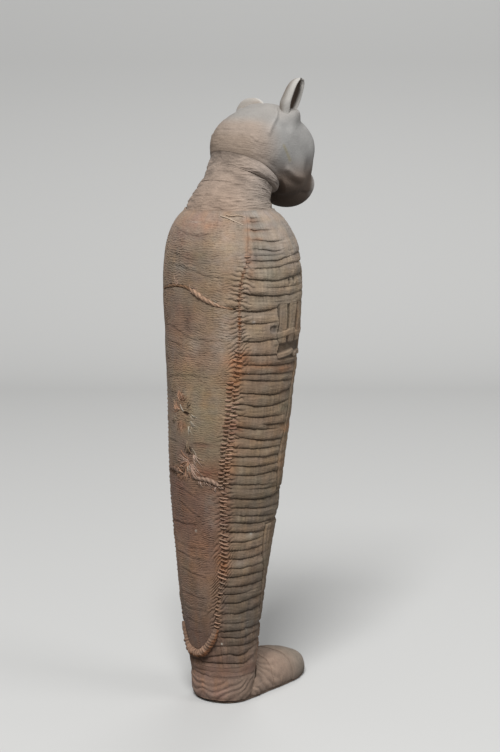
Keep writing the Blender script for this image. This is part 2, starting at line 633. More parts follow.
# Folds of the bands: heights, and depths in tenths, at these angles. Beyond the last they run on round.
FOLD_ANGLES = (52.0, 65.0, 80.0, 95.0, 110.0)
FOLDS = (
    ((31.5, 31.3, 31.0, 33.0, 35.0), (6, 7, 7, 4, 1)),
    ((38.9, 37.8, 38.4, 40.8, 42.0), (5, 8, 8, 4, 1)),
    ((45.2, 45.2, 45.1, 45.5, 46.0), (4, 5, 5, 5, 5)),
    ((51.9, 51.0, 51.3, 52.4, 52.6), (6, 5, 5, 3, 2)),
    ((56.5, 56.7, 57.5, 58.0, 57.9), (5, 6, 7, 8, 7)),
    ((62.9, 62.8, 62.8, 63.0, 63.0), (3, 4, 3, 2, 2)),
    ((69.7, 70.2, 71.3, 71.9, 71.9), (5, 7, 10, 8, 4)),
    ((78.0, 78.3, 79.6, 80.4, 80.5), (5, 7, 9, 8, 5)),
    ((84.9, 84.9, 85.8, 87.0, 87.0), (6, 6, 3, 1, 1)),
    ((90.3, 90.2, 90.8, 91.6, 91.3), (6, 7, 9, 9, 6)),
    ((97.4, 97.9, 98.7, 98.5, 98.0), (5, 7, 9, 6, 4)),
    ((103.7, 103.8, 104.5, 105.0, 105.0), (4, 6, 5, 3, 3)),
    ((111.1, 110.8, 111.5, 112.5, 113.0), (6, 7, 7, 3, 3)),
    ((117.2, 117.3, 118.0, 119.0, 119.0), (5, 6, 6, 3, 3)),
    ((123.6, 123.3, 124.3, 125.5, 126.0), (6, 6, 5, 2, 2)),
    ((130.9, 130.3, 129.8, 129.4, 129.0), (8, 8, 7, 4, 3)),
    ((137.8, 136.9, 136.2, 135.9, 135.4), (6, 8, 8, 8, 6)),
    ((143.2, 142.3, 141.2, 140.2, 139.8), (5, 6, 6, 5, 3)),
    ((148.7, 147.9, 146.9, 146.3, 146.0), (6, 8, 7, 5, 3)),
    ((155.0, 154.5, 154.0, 154.1, 154.8), (6, 8, 10, 10, 8)),
    ((161.9, 161.3, 160.8, 160.4, 160.2), (1, 3, 5, 5, 2)),
    ((165.3, 164.7, 163.9, 163.2, 162.8), (5, 7, 4, 1, 0)),
    ((171.8, 171.2, 171.6, 171.9, 170.4), (5, 7, 9, 8, 5)),
    ((178.4, 177.9, 177.3, 177.6, 177.5), (5, 7, 6, 5, 3)),
    ((185.3, 184.6, 184.0, 184.0, 183.5), (6, 7, 9, 9, 4)),
    ((191.2, 190.5, 190.0, 189.8, 188.8), (5, 7, 7, 6, 4)),
    ((198.6, 197.2, 195.6, 195.0, 194.6), (6, 8, 8, 8, 7)),
    ((206.0, 204.4, 203.2, 201.9, 201.0), (8, 9, 6, 1, 0)),
    ((209.0, 208.0, 206.6, 206.0, 205.2), (0, 0, 5, 9, 10)),
    ((213.8, 212.5, 212.3, 211.8, 211.2), (5, 7, 7, 3, 0)),
    ((222.0, 220.3, 219.8, 221.0, 221.4), (6, 8, 8, 7, 4)),
    ((229.8, 228.9, 227.6, 228.4, 229.3), (4, 8, 9, 8, 9)),
    ((239.0, 238.2, 237.0, 236.2, 235.2), (6, 9, 9, 7, 6)),
    ((243.4, 242.8, 241.9, 241.2, 240.4), (7, 7, 6, 5, 3)),
    ((249.3, 248.8, 248.1, 247.6, 247.7), (7, 7, 9, 10, 9)),
    ((256.2, 255.7, 255.2, 254.5, 254.0), (5, 6, 5, 4, 3)),
    ((265.5, 265.4, 266.1, 266.0, 266.0), (6, 7, 6, 3, 2)),
    ((278.1, 277.8, 277.6, 277.0, 277.0), (7, 7, 1, 1, 1)),
    ((286.8, 286.4, 288.2, 289.6, 289.8), (8, 8, 7, 5, 4)),
    ((292.8, 292.6, 291.9, 292.4, 293.0), (1, 2, 3, 2, 1)),
    ((298.6, 296.9, 296.3, 296.2, 297.0), (8, 8, 8, 6, 4)),
    ((302.6, 302.2, 301.8, 302.0, 302.0), (1, 2, 3, 3, 2)),
    ((309.2, 307.5, 306.9, 308.4, 309.3), (8, 8, 8, 10, 10)),
    ((315.4, 315.2, 315.6, 317.4, 317.6), (1, 3, 4, 5, 4)),
    ((320.8, 320.5, 320.4, 322.3, 323.5), (5, 7, 8, 5, 4)),
    ((324.4, 324.0, 323.8, 325.4, 326.0), (3, 5, 3, 1, 0)),
    ((328.8, 328.3, 326.6, 328.0, 329.0), (2, 5, 5, 1, 0)),
    ((334.8, 334.3, 333.0, 333.5, 334.0), (4, 6, 5, 1, 0)),
    ((341.4, 341.1, 340.6, 340.0, 340.0), (6, 9, 2, 0, 0)),
    ((346.6, 346.3, 346.0, 345.5, 345.0), (4, 6, 1, 0, 0)),
    ((349.2, 348.9, 348.5, 348.0, 348.0), (4, 6, 1, 0, 0)),
)
# The folds between which each band lies, from the ankle up
BAND_EDGES = (None, 45.2, 56.5, 69.7, 90.3, 103.7, 117.2, 130.9, 148.7, 165.3, 178.4, 198.6, 213.8, 229.8,
              243.4, 256.2, 265.5, 286.8, 298.6, 320.8)
# The bands' crests, how deep a full fold is, and how far its sides reach above and below its line
FOLD_CREST, FOLD_DEPTH, FOLD_ABOVE, FOLD_BELOW = 0.55, 2.35, 1.35, 2.7
# The dark slot in a fold, how far the fold hangs over it, and how far from its line a fold is reckoned with
SLOT_DEPTH, SLOT_HALF_HEIGHT, OVERHANG, FOLD_REACH = 0.9, 0.7, 1.25, 14.0
# How far the folds above the ankle sink at the back, where the gathers of the seam end, and the lowest relief
HEEL_DIP, GATHERS_END, DEEPEST = 4.6, 47.0, -2.15


def is_left(angle):
    """0 on the right side and 1 on the left."""
    return eased(((angle % 360.0) - 150.0) / 50.0)


def line_height(angle, heights):
    """Height of a fold round the body, with its own waves, and others on the left side."""
    side = side_of(angle)
    at = curve_at(side, FOLD_ANGLES, heights)
    seed = int(heights[0] * 10)
    small = 0.22 * noise(seed, angle / 5.0) + 0.12 * noise(seed + 1, angle / 1.7)
    front = eased((side - 112.0) / 30.0) * 1.1 * noise(seed + 2, angle / 26.0)
    left = is_left(angle) * 1.3 * noise(seed + 3, angle / 34.0)
    dip = HEEL_DIP * bell((heights[0] - 40.0) / 4.0) * eased((50.0 - side) / 50.0)
    return at + small + front + left - dip


def line_depth(angle, heights, depths):
    """How deep a fold is round the body: 1 for a full one."""
    seed = int(heights[0] * 10)
    depth = curve_at(side_of(angle), FOLD_ANGLES, depths) / 10.0
    return np.clip(depth * (1.0 + 0.22 * noise(seed + 5, angle / 9.0)), 0.0, 1.0)


def fold_relief(angle, height):
    """Offset of the folded bands from their crests, and how far the folds hang down over each other."""
    flat, slot, droop = 1.0 + blank(angle, height), blank(angle, height), blank(angle, height)
    for heights, depths in FOLDS:
        if heights[0] < height.min() - FOLD_REACH or heights[0] > height.max() + FOLD_REACH:
            continue
        depth = line_depth(angle, heights, depths)
        above = height - line_height(angle, heights)
        flat *= 1.0 - depth * skirt(above, FOLD_ABOVE, FOLD_BELOW)
        slot = np.maximum(slot, depth**1.5 * bell(above / SLOT_HALF_HEIGHT))
        droop = np.maximum(droop, depth * overhang(above))
    pillow = FOLD_CREST - FOLD_DEPTH * (1.0 - flat) - SLOT_DEPTH * slot
    return pillow, OVERHANG * droop


def kept_above(relief):
    """Relief that never goes below the deepest, with a soft turn."""
    return DEEPEST + np.logaddexp(0.0, (relief - DEEPEST) * 5.0) / 5.0 - 0.02


# Degrees by which the left seam lies farther to the front than the right one
LEFT_SEAM_SHIFT = 12.0
# The orange line that the seam draws on the shoulder and the chest
SEAM_LINE_FOOT, SEAM_LINE_TOP, SEAM_LINE_WIDTH = 262.0, 346.0, 1.0


def seam_angle(height, left):
    """Angle of the right seam, or where left is 1, that of the left one counted the other way round."""
    return curve_at(height, *np.array(SEAM).T) + LEFT_SEAM_SHIFT * left


def beside_seam(angle, height):
    """Degrees from the nearer seam, towards the front."""
    left = ((np.asarray(angle) % 360.0) > 180.0) * 1.0
    return side_of(angle) - seam_angle(height, left)


def seam_tint(angle, height, tint):
    """The colour of the wrappings with the stained line of the seam on it."""
    wander = 1.6 * noise(46, height / 6.0) * eased((height - 300.0) / 20.0)
    away = (beside_seam(angle, height) - wander) / degrees_of(SEAM_LINE_WIDTH, height)
    share = 0.85 * bell(away) * (0.70 + 0.50 * noise(47, height / 4.0))
    share = share * eased((height - SEAM_LINE_FOOT) / 30.0 + 0.35) * eased((SEAM_LINE_TOP - height) / 8.0)
    share = share * (1.0 - 0.5 * eased((height - 306.0) / 10.0) - 0.32 * eased((height - 322.0) / 10.0))
    return blended(tint, ORANGE, np.clip(share, 0.0, 1.0))


def gather_relief(angle, height, seed):
    """Puckers beside the seam, the groove of the seam, and the share of both at each place."""
    half_width, slope, depth = table_at(height, GATHERS)
    beside = beside_seam(angle, height)
    wave = height / GATHER_PITCH + slope * beside + 0.55 * noise(seed, height / 9.0, beside / 6.0)
    wave = wave + 0.22 * noise(seed + 1, height / 2.5, beside / 3.0)
    reach = 1.0 + 0.40 * noise(seed + 2, np.floor(wave) * 0.73)
    window = eased(1.7 - abs(beside) / (half_width * reach))
    patchy = eased(depth * 4.0) * (0.6 + 0.4 * noise(seed + 3, height / 3.0))
    groove = bell(beside / degrees_of(GROOVE_WIDTH, height)) * patchy
    return GATHER_DEPTH * depth * window * (ridged(wave, 2.4) - 0.8), -SEAM_GROOVE * groove, window


# Creases of the back: depth, then angle and height of each point along it
CREASES = (
    (0.30, ((-32, 341), (-15, 339), (0, 336.4), (14, 336.8), (26, 339))),
    (0.22, ((-20, 345.5), (0, 345.8), (20, 344.5), (36, 342))),
    (0.28, ((-30, 325), (-15, 323), (0, 320.5), (8, 318.5))),
    (0.35, ((-28, 316.5), (-10, 315), (5, 313), (20, 309.2), (36, 308.8))),
    (0.20, ((-26, 333), (-12, 332), (4, 329))),
    (0.25, ((-34, 272.5), (-18, 272), (-8, 269), (0, 266.2), (10, 265.2), (30, 264.6))),
    (0.22, ((-34, 262), (-18, 261), (0, 259))),
    (0.18, ((-20, 255), (-5, 253), (10, 253))),
    (0.28, ((-36, 234), (-15, 238), (5, 239.4), (26, 239))),
    (0.20, ((-38, 223), (-25, 225.5), (-15, 226))),
    (0.35, ((-40, 190), (-25, 191), (-12, 190))),
    (0.40, ((3, 191.2), (14, 192.2), (26, 191.5))),
    (0.30, ((-24, 158), (-8, 157.5), (6, 154.5), (18, 151.5))),
    (0.30, ((-18, 149), (-5, 145.5), (8, 141), (20, 137))),
    (0.45, ((-42, 131), (-25, 132.5), (-5, 133), (12, 134))),
    (0.25, ((-30, 117.5), (-10, 117), (8, 116.6), (24, 117.5))),
    (0.35, ((-34, 110), (-12, 110.2), (2, 108.8), (18, 108.6))),
    (0.35, ((-24, 99), (-8, 98.5), (8, 96.6), (24, 95.5))),
    (0.30, ((-30, 82), (-12, 80.8), (6, 80), (22, 80.5))),
    (0.30, ((-26, 70.5), (-8, 69.8), (10, 70.4), (22, 71))),
    (0.25, ((-26, 62), (-5, 61), (12, 59.5))),
    (0.20, ((-20, 54), (0, 53), (14, 53.5))),
)
# Raised lines of the back: amount, then angle and height of each point, from the lowest
RAISED_LINES = (
    (0.45, ((29, 197), (33, 204), (37, 212), (38, 222), (37, 233))),
    (0.40, ((20, 69), (23, 76), (27, 83))),
)
WEAVE_PITCH, WEAVE_HEIGHT = 1.65, 0.52


def crease_relief(angle, height):
    """Creases that run across the back, each with a soft crest above it."""
    total = blank(angle, height)
    for depth, points in CREASES:
        angles, heights = np.array(points, float).T
        above = height - curve_at(angle, angles, heights) - 0.25 * noise(int(heights[0]), angle / 4.0)
        inside = eased((angle - angles[0]) / 7.0) * eased((angles[-1] - angle) / 7.0)
        total += depth * inside * (0.6 * bell((above - 1.9) / 1.3) - skirt(above, 1.1, 0.8))
    return total


def upright_relief(angle, height):
    """Raised lines that run up the back."""
    total = blank(angle, height)
    for amount, points in RAISED_LINES:
        angles, heights = np.array(points, float).T
        middle = curve_at(height, heights, angles) + 0.5 * noise(45, height / 3.0)
        inside = eased((height - heights[0]) / 3.0) * eased((heights[-1] - height) / 3.0)
        total += amount * inside * bell((angle - middle) / degrees_of(0.7, height))
    return total


def weave_relief(angle, height):
    """Wavy rows of the back's coarse linen."""
    sway = 0.40 * noise(41, angle / 2.0, height / 3.0) + 0.9 * noise(42, angle / 8.0, height / 12.0)
    row = height / WEAVE_PITCH + sway
    breaks = 0.62 + 0.55 * noise(43, angle / 1.7, height / 1.5)
    worn = 0.80 + 0.45 * noise(44, angle / 12.0, height / 15.0)
    return WEAVE_HEIGHT * (np.cos(2 * math.pi * row) * 0.5 - 0.5) * breaks * worn


# Frayed holes: angle and height of the middle, half sizes in millimetres. Then how deep they are.
HOLES = ((-3.5, 212.8, 2.6, 1.5), (-0.5, 186.5, 2.4, 3.6))
HOLE_DEPTH = 1.5


def hole_share(angle, height):
    """1 inside a frayed hole, 0 away from it, with a ragged edge."""
    total = blank(angle, height)
    for at, level, half_across, half_up in HOLES:
        across = (angle - at) / degrees_of(half_across, np.array(level))
        away = np.hypot(across, (height - level) / half_up)
        away = away + 0.30 * rough_noise(61, angle / 1.6, height / 1.3)
        total = np.maximum(total, eased((1.10 - away) / 0.30))
    return total


def back_relief(angle, height):
    """Offset of the back cloths, the share of their holes, and how pale their threads are."""
    sewn, groove, window = gather_relief(angle, height, 83)
    quiet = 1.0 - 0.8 * window
    broad = 0.30 * noise(3, angle / 13.0, height / 17.0) + 0.12 * noise(4, angle / 5.0, height / 6.0)
    weave = weave_relief(angle, height) * quiet
    raised = upright_relief(angle, height)
    relief = broad + crease_relief(angle, height) + raised + weave + sewn + groove
    hole = hole_share(angle, height)
    specks = np.clip(noise(48, angle / 1.5, height / 1.1) - 0.45, 0.0, 1.0) * quiet
    grain = weave / WEAVE_HEIGHT + 0.3 + 0.9 * sewn + 1.5 * raised + 1.6 * specks
    return kept_above(relief * (1.0 - hole) - HOLE_DEPTH * hole), hole, grain


# Hems: angle, height and radius along each. The upper one is the thickest where it is best seen.
UPPER_HEM = ((-46, 296.6, 0.9), (-38, 298.0, 1.0), (-28, 299.8, 1.0), (-18, 301.4, 1.1), (-8, 301.9, 1.1),
             (0, 301.2, 1.2), (6, 299.4, 1.5), (12, 296.6, 1.7), (18, 293.6, 1.6), (24, 291.2, 1.3),
             (30, 289.6, 1.0), (36, 288.6, 0.8), (41, 287.8, 0.7))
TORN_HEM = ((-40, 169.6, 1.2), (-32, 170.6, 1.4), (-24, 171.4, 1.5), (-16, 170.6, 1.3), (-8, 169.2, 1.0),
            (0, 168.4, 0.9), (8, 168.3, 1.2), (16, 168.1, 1.4), (22, 167.6, 1.5), (28, 166.2, 1.4),
            (34, 163.8, 1.2), (38, 162.2, 0.8))
BOTTOM_HEM = ((-43, 56.0, 1.6), (-41, 50.0, 1.9), (-36, 43.5, 2.2), (-28, 39.5, 2.4), (-18, 37.8, 2.6),
              (-6, 37.3, 2.7), (4, 38.0, 2.8), (12, 40.7, 2.8), (18, 44.0, 2.7), (24, 48.2, 2.5),
              (29, 52.8, 2.2), (33, 58.5, 1.7))
# The gap between a hem and the cloth beside it
HEM_CLEARANCE = 0.15


def cloth_top(angle):
    """The ragged upper edge of the cloths, where they meet the neck."""
    return CLOTH_TOP + 0.4 * noise(91, angle / 17.0) + 0.06 * noise(92, angle / 4.0)


def beside_hem(hem, side):
    """The edge of the cloth above or below a hem."""

    def edge(angle):
        height, radius = table_at(angle, hem)
        return height + side * (radius + HEM_CLEARANCE)

    return edge


def shares(length, step, ring=False):
    """Even shares of a length, for the rows or the columns of a grid."""
    count = max(int(length / step), FEWEST_SHARES)
    return np.linspace(0.0, 1.0, count, endpoint=False) if ring else np.linspace(0.0, 1.0, count + 1)


# Mean radius of the cloth round the body, for the place of its threads
CLOTH_RADIUS = 0.047


def cloth_place(angle, height):
    """Where a point lies on the cloth: along the weft, along the warp."""
    return stacked(np.radians(angle) * CLOTH_RADIUS, height * MM, 0.0)


# A strip is cut this much taller than it shows, as its edges are folded under, and at least this wide
# How near a piece's edge an overhang fades out, and from what height on the relief does, over how much
DROOP_FADE, FADE_FROM, FADE_OVER = 0.5, 349.0, 2.8


def wall_piece(name, low_of, high_of, first_of, last_of, relief_of, inner=-BAND_DEPTH / MM, step=COLUMN_STEP,
               ring=False):
    """A piece of the body's wall between two heights and two angles, with its relief."""
    middle = (low_of(np.array(90.0)) + high_of(np.array(90.0))) / 2
    first = float(first_of(middle))
    last = min(float(last_of(middle)), first + 360.0)
    samples = np.linspace(first, last, 9)
    tall = float((high_of(samples) - low_of(samples)).mean())
    radius = float(table_at(middle * MM, SECTIONS)[0])

    across = shares(math.radians(last - first) * radius, step, ring=ring)[None, :]
    up = shares(tall * MM, ROW_STEP)[:, None]
    angle = first + (last - first) * across + 0.0 * up
    for _ in range(3):
        height = low_of(angle) * (1.0 - up) + high_of(angle) * up
        angle = first_of(height) + (last_of(height) - first_of(height)) * across

    relief, droop, tint = relief_of(angle, height)
    droop = droop * eased(np.minimum(up, 1.0 - up) * tall / DROOP_FADE)
    relief = relief * (1.0 - eased((height - FADE_FROM) / FADE_OVER))
    hug, hug_inside = table_at(height, NECK_HUG)
    outer = body_point(angle, height - droop, relief + hug)
    inside = body_point(angle, height, inner + hug_inside)
    piece = shell(name, outer, inside, tint, cloth_place(angle, height), ring)
    return piece


def steady(value):
    """An edge that stays at one value all along."""
    return lambda at: np.full(np.shape(at), float(value))


# Right edges of the strips over the front: height and angle
LATTICE_EDGE = ((250.0, 84.6), (256.0, 82.4), (262.0, 83.8), (268.0, 80.4), (276.0, 82.2), (284.0, 80.2),
                (291.0, 81.8))
UPPER_LATTICE_EDGE = ((290.0, 128.0), (314.0, 130.0))
UPPER_APRON_EDGE = ((157.0, 106.0), (165.0, 103.5), (184.0, 101.0), (206.0, 107.0), (229.0, 110.0),
                    (250.0, 116.0))
LOWER_APRON_EDGE = ((58.0, 111.0), (80.0, 107.5), (98.0, 104.0), (110.0, 96.0), (122.0, 92.0), (134.0, 93.0))
# Strips over the front: piece, node, edge, lowest and highest place, and an apron's seed for its noise
FRONT_STRIPS = (
    ("chest_lattice_strips", "chest_lattice", LATTICE_EDGE, 251.5, 290.3, None),
    ("upper_lattice_strips", "chest_lattice", UPPER_LATTICE_EDGE, 290.5, 313.0, None),
    ("upper_apron_strips", "upper_apron", UPPER_APRON_EDGE, 157.0, 250.0, 411),
    ("lower_apron_strips", "lower_apron", LOWER_APRON_EDGE, 58.0, 134.0, 421),
)


def covered(inside):
    """0 outside an edge and 1 from a little inside it on, in millimetres or degrees."""
    return eased(inside / 0.5 + 0.9)


def under_front(angle, height):
    """Share of a place that the lattice or an apron covers."""
    total = blank(angle, height)
    for _, _, edge, low, high, _ in FRONT_STRIPS:
        inside = side_of(angle) - table_at(height, edge)[0]
        total = np.maximum(total, covered(inside) * covered(height - low) * covered(high - height))
    return total


# Hollows among the folds of the chest: angle, height, half sizes in degrees and millimetres
PITS = ((94.5, 305.2, 1.9, 2.4), (101.5, 306.4, 2.0, 2.4), (77.0, 273.0, 3.8, 2.4))


def pit_share(angle, height):
    """1 inside a hollow, 0 away from it."""
    total = blank(angle, height)
    for at, level, half_angle, half_height in PITS:
        away = np.hypot((side_of(angle) - at) / half_angle, (height - level) / half_height)
        total = np.maximum(total, eased((1.25 - away) / 0.6))
    return total


def band_relief(angle, height):
    """Folds, puckers at the seam and threads across, with the tint that goes with them."""
    pillow, droop = fold_relief(angle, height)
    beside = beside_seam(angle, height)
    calm = np.maximum(eased((beside - 1.0) / 6.0), eased((GATHERS_END - height) / 3.0))
    sewn, groove, _ = gather_relief(angle, height, 87)
    broad = 0.45 * noise(21, angle / 9.0, height / 5.0) - 0.15
    ribs = noise(22, angle / 1.3, height / 7.0) * (0.7 + 0.5 * noise(26, angle / 15.0, height / 8.0))
    pleats = noise(24, angle / 16.0, height / 1.2)
    fine = 0.17 * ribs + 0.16 * pleats + 0.12 * rough_noise(23, angle / 1.8, height / 1.5)
    pit = pit_share(angle, height)
    relief = broad + pillow * (0.08 + 0.92 * calm) + sewn + groove + fine - 1.1 * pit
    hidden = under_front(angle, height)
    relief = kept_above(relief * (1.0 - hidden) - 1.9 * hidden)

    shade = 1.25 * (pillow - FOLD_CREST) * (0.20 + 0.80 * calm) + 0.9 * sewn + 0.2 * groove + 0.75 * ribs
    tint = tint_of(angle, height, shade + 0.3 * pleats - 1.6 * pit + 0.22)
    orange = np.clip(-pillow / FOLD_DEPTH, 0.0, 1.0) ** 2 * eased((86.0 - side_of(angle)) / 22.0)
    orange = 0.30 * orange * (0.6 + 0.4 * noise(29, height / 9.0))
    return relief, droop * calm * (1.0 - hidden), blended(tint, ORANGE, orange)


def left_of(function, **more):
    """The same edge on the left side."""
    return lambda height: 360.0 - function(height, **more)


def fold_line(first_height):
    """The fold that starts at a height beside the seam, as a function of the angle."""
    for heights, _ in FOLDS:
        if heights[0] == first_height:
            return lambda angle: line_height(angle, heights)
    raise ValueError(first_height)


def band_start(height, left=0.0):
    """Where the bands begin beside a seam."""
    return seam_angle(height, left) + degrees_of(EDGE_GAP / MM, height)


def make_bands():
    ankle_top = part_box("front_band_01")[0].z / MM
    gap = EDGE_GAP / MM / 2
    for number, (low_key, high_key) in enumerate(zip(BAND_EDGES[:-1], BAND_EDGES[1:]), 1):
        low_line = fold_line(low_key) if low_key else steady(ankle_top)
        high_line = fold_line(high_key)
        piece = wall_piece(
            f"folded_band_{number:02d}",
            lambda angle, line=low_line: line(angle) + gap,
            lambda angle, line=high_line: line(angle) - gap,
            band_start,
            left_of(band_start, left=1.0),
            band_relief,
        )
        dress(piece, "front_linen", f"front_band_{number:02d}")


def cloth_relief(angle, height):
    """Relief of the back cloths, which hang over nothing, and their tint."""
    relief, hole, grain = back_relief(angle, height)
    tint = tint_of(angle, height, (0.9 * relief + 0.9 * grain) * (1.0 - hole))
    tint = blended(tint, np.array(PURPLE) * 0.45, 0.75 * hole)
    return kept_above(relief - CLOTH_SKIN / MM * 0.5), np.zeros_like(relief), tint


def back_edge(height, left=0.0):
    """Where the back cloths end beside a seam."""
    return seam_angle(height, left) - degrees_of(EDGE_GAP / MM, height)


# Cloths of the back: piece, slot, node, hem below and hem above
BACK_CLOTHS = (
    ("upper_back_cloth", "back_linen", "back_cloth_upper", UPPER_HEM, None),
    ("middle_back_cloth", "back_linen", "back_cloth_middle", TORN_HEM, UPPER_HEM),
    ("lower_back_cloth", "reddish_linen", "back_cloth_lower", BOTTOM_HEM, TORN_HEM),
    ("heel_wrap", "foot_linen", "heel_cloth", None, BOTTOM_HEM),
)


def make_back():
    low = steady(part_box("heel_cloth")[0].z / MM)
    for name, slot, node_name, below, above in BACK_CLOTHS:
        piece = wall_piece(
            name,
            beside_hem(below, 1.0) if below else low,
            beside_hem(above, -1.0) if above else cloth_top,
            lambda height: -back_edge(height, 1.0),
            back_edge,
            cloth_relief if name != "heel_wrap" else band_relief,
            step=BACK_STEP,
        )
        dress(piece, slot, node_name)


# Ropes of rolled cloth: step along one in metres, its sides, and the back's radius for its length
ROPE_STEP, ROPE_SIDES, BACK_RADIUS = 0.0004, 40, 0.05


def make_rope(name, hem, lay, lobes, tint, ridge=0.16, upper_tint=None):
    """A rolled hem as a twisted rope. lay is the length of a turn in millimetres, and the upper side may
    have a colour of its own."""
    first, last = hem[0][0], hem[-1][0]
    along = np.linspace(first, last, int(math.radians(last - first) * BACK_RADIUS / ROPE_STEP))
    height, radius = table_at(along, hem)
    height = height + 0.15 * noise(201, along / 3.0)
    radius = radius * (1.0 + 0.12 * noise(203, along / 2.2) + 0.06 * noise(204, along / 0.9))
    middle = body_point(along, height, radius - BAND_DEPTH / MM + 0.05)
    ahead = np.gradient(middle, axis=0)
    reach = (np.cumsum(np.linalg.norm(ahead, axis=1)) / MM)[:, None]
    outwards = unit(body_point(along, height, radius + 1.0) - body_point(along, height, radius))
    upwards = np.cross(unit(ahead), outwards)

    turn = np.linspace(0.0, 2 * math.pi, ROPE_SIDES, endpoint=False)[None, :]
    strand = abs(np.cos((lobes * turn - 2 * math.pi * reach / lay) / 2))
    wide = 1.0 + ridge * (strand - 0.6) + 0.04 * noise(205, reach / 0.5, turn * 3.0)
    wide = wide * radius[:, None] * MM
    ring = outwards[:, None] * (np.cos(turn) * wide)[..., None]
    ring = ring + upwards[:, None] * (np.sin(turn) * wide)[..., None]
    outer = middle[:, None] + ring

    colour = tint(along)[:, None]
    if upper_tint:
        ragged = 0.25 * noise(207, reach / 2.0, turn)
        colour = blended(colour, upper_tint, eased((np.sin(turn) - 0.05 + ragged) / 0.6))
    shade = 0.56 + 0.50 * strand + 0.12 * noise(206, reach / 1.1, turn * 2.0)
    place = stacked(turn * 0.002, reach * MM, 0.0)
    return capped(name, outer[:, ::-1], (colour * shade[..., None])[:, ::-1], place[:, ::-1])


def upper_hem_tint(angle):
    bright = eased((angle - 2.0) / 6.0) * eased((40.0 - angle) / 8.0)
    return blended((0.26, 0.15, 0.085), (0.43, 0.275, 0.185), bright)


def torn_hem_tint(angle):
    bright = eased((angle - 4.0) / 8.0)
    return blended((0.185, 0.115, 0.080), (0.36, 0.24, 0.175), bright)


def bottom_hem_tint(angle):
    return blended((0.345, 0.210, 0.142), (0.285, 0.180, 0.124), eased(abs(angle + 5.0) / 40.0))


def make_hems():
    dress(make_rope("upper_hem", UPPER_HEM, 4.6, 3, upper_hem_tint, 0.20), "back_linen", "upper_rolled_hem")
    dress(make_rope("torn_hem", TORN_HEM, 3.6, 2, torn_hem_tint), "reddish_linen", "torn_rolled_edge")
    rope = make_rope("bottom_hem", BOTTOM_HEM, 2.5, 1, bottom_hem_tint, 0.22, (0.30, 0.135, 0.065))
    dress(rope, "reddish_linen", "bottom_rolled_hem")


# Stitches of the side seams: from, to, pitch, angle from the seam, half length in degrees, slope, radius
STITCH_ROWS = (
    (58.0, 92.0, 3.3, 0.0, 3.4, -0.12, 0.46),
    (92.0, 132.0, 3.2, 0.5, 4.4, -0.28, 0.52),
    (132.0, 163.0, 3.2, 0.0, 3.8, -0.12, 0.50),
    (163.0, 238.0, 3.0, -5.2, 2.5, 0.05, 0.58),
    (164.5, 238.0, 3.0, 0.8, 2.7, 0.05, 0.58),
    (240.0, 262.0, 3.4, 0.6, 3.4, -0.22, 0.42),
    (264.0, 326.0, 3.6, 0.3, 2.2, 0.05, 0.34),
)
# Side of each seam, and how deep the ends of its stitches lie
STITCHED_SIDES = ((1, "right", -0.75), (-1, "left", -1.35))
STITCH_TINT = (0.35, 0.225, 0.155)


def add_stitch(threads, side, sink, row, number):
    """A whip stitch: it comes out of the cloth, runs over the seam and dips in again."""
    low, _, pitch, beside, reach, slope, radius = row
    beside = beside if side > 0 else abs(beside)
    height = low + (number + 0.5) * pitch
    jitter = [float(noise(300 + side + j, np.array(height * 0.77))) for j in range(4)]
    height += 0.5 * jitter[0]
    middle = float(seam_angle(height, (1 - side) / 2)) + beside + 0.8 * jitter[1]
    half = reach * (1.0 + 0.35 * jitter[2])
    across = np.linspace(-1.0, 1.0, 11)
    rise = height + slope * half * across * 0.8 + 0.3 * jitter[3] * across**2
    lift = sink + 1.05 * np.sqrt(1.0 - across**2)
    path = body_point(side * (middle + half * across), rise, lift)
    wide = radius * MM * (0.75 + 0.25 * np.sqrt(1.0 - across**2 * 0.9))
    tint = stained([STITCH_TINT], np.array([middle]), np.array([height]))[0]
    threads.add(path, wide, tint * (1.05 + 0.25 * jitter[2]))


def make_stitches():
    for side, name, sink in STITCHED_SIDES:
        threads = Threads()
        for row in STITCH_ROWS:
            low, high, pitch = row[:3]
            for number in range(int((high - low) / pitch)):
                add_stitch(threads, side, sink, row, number)
        dress(threads.build(f"{name}_seam_stitches"), "seam_thread", f"{name}_seam_lacing")


# Strips over the front: levels of the lattice with their half heights, then its posts in degrees
LATTICE_LEVELS = ((253.6, 1.9), (268.0, 2.3), (292.6, 2.6), (310.5, 2.6))
FIRST_POST, POST_PITCH, POST_HALF_WIDTH = 87.3, 13.24, 4.9
# The grounds between the strips, how far the lattice stands out, and how deep all of them reach
LATTICE_GROUND, APRON_GROUND, LATTICE_RISE, FRONT_INSIDE = -1.15, -1.25, 1.75, -1.5
# Width of a strip's slanting edge and of an apron's pleat
STRIP_EDGE, PLEAT_WIDTH = 1.5, 5.2


def strip_profile(away, half_width):
    """1 on a strip and 0 beside it."""
    return eased((half_width - abs(away)) / STRIP_EDGE + 0.5)


def lattice_posts(angle, height):
    """The strips that run up: 1 on a strip and 0 between them."""
    side = side_of(angle)
    steps = (side - FIRST_POST + 0.7 * noise(401, angle / 7.0, height / 9.0)) / POST_PITCH
    away = (steps - np.round(steps)) * POST_PITCH
    half_width = POST_HALF_WIDTH + 0.7 * noise(402, np.round(steps) + 0.5, height / 12.0)
    open_below = eased((263.5 - height) / 2.0) * eased((128.0 - side) / 4.0)
    return strip_profile(away, half_width) * (1.0 - open_below)


def lattice_levels(angle, height):
    """The strips that run round."""
    side = side_of(angle)
    rise = np.clip(0.11 * (side - 80.0), 0.0, 2.6) * (1.0 - eased((side - 104.0) / 4.0))
    total = blank(angle, height)
    for level, half in LATTICE_LEVELS:
        sag = 0.5 * noise(int(level), angle / 9.0)
        total = np.maximum(total, strip_profile(height - level - rise + sag, half))
    return total


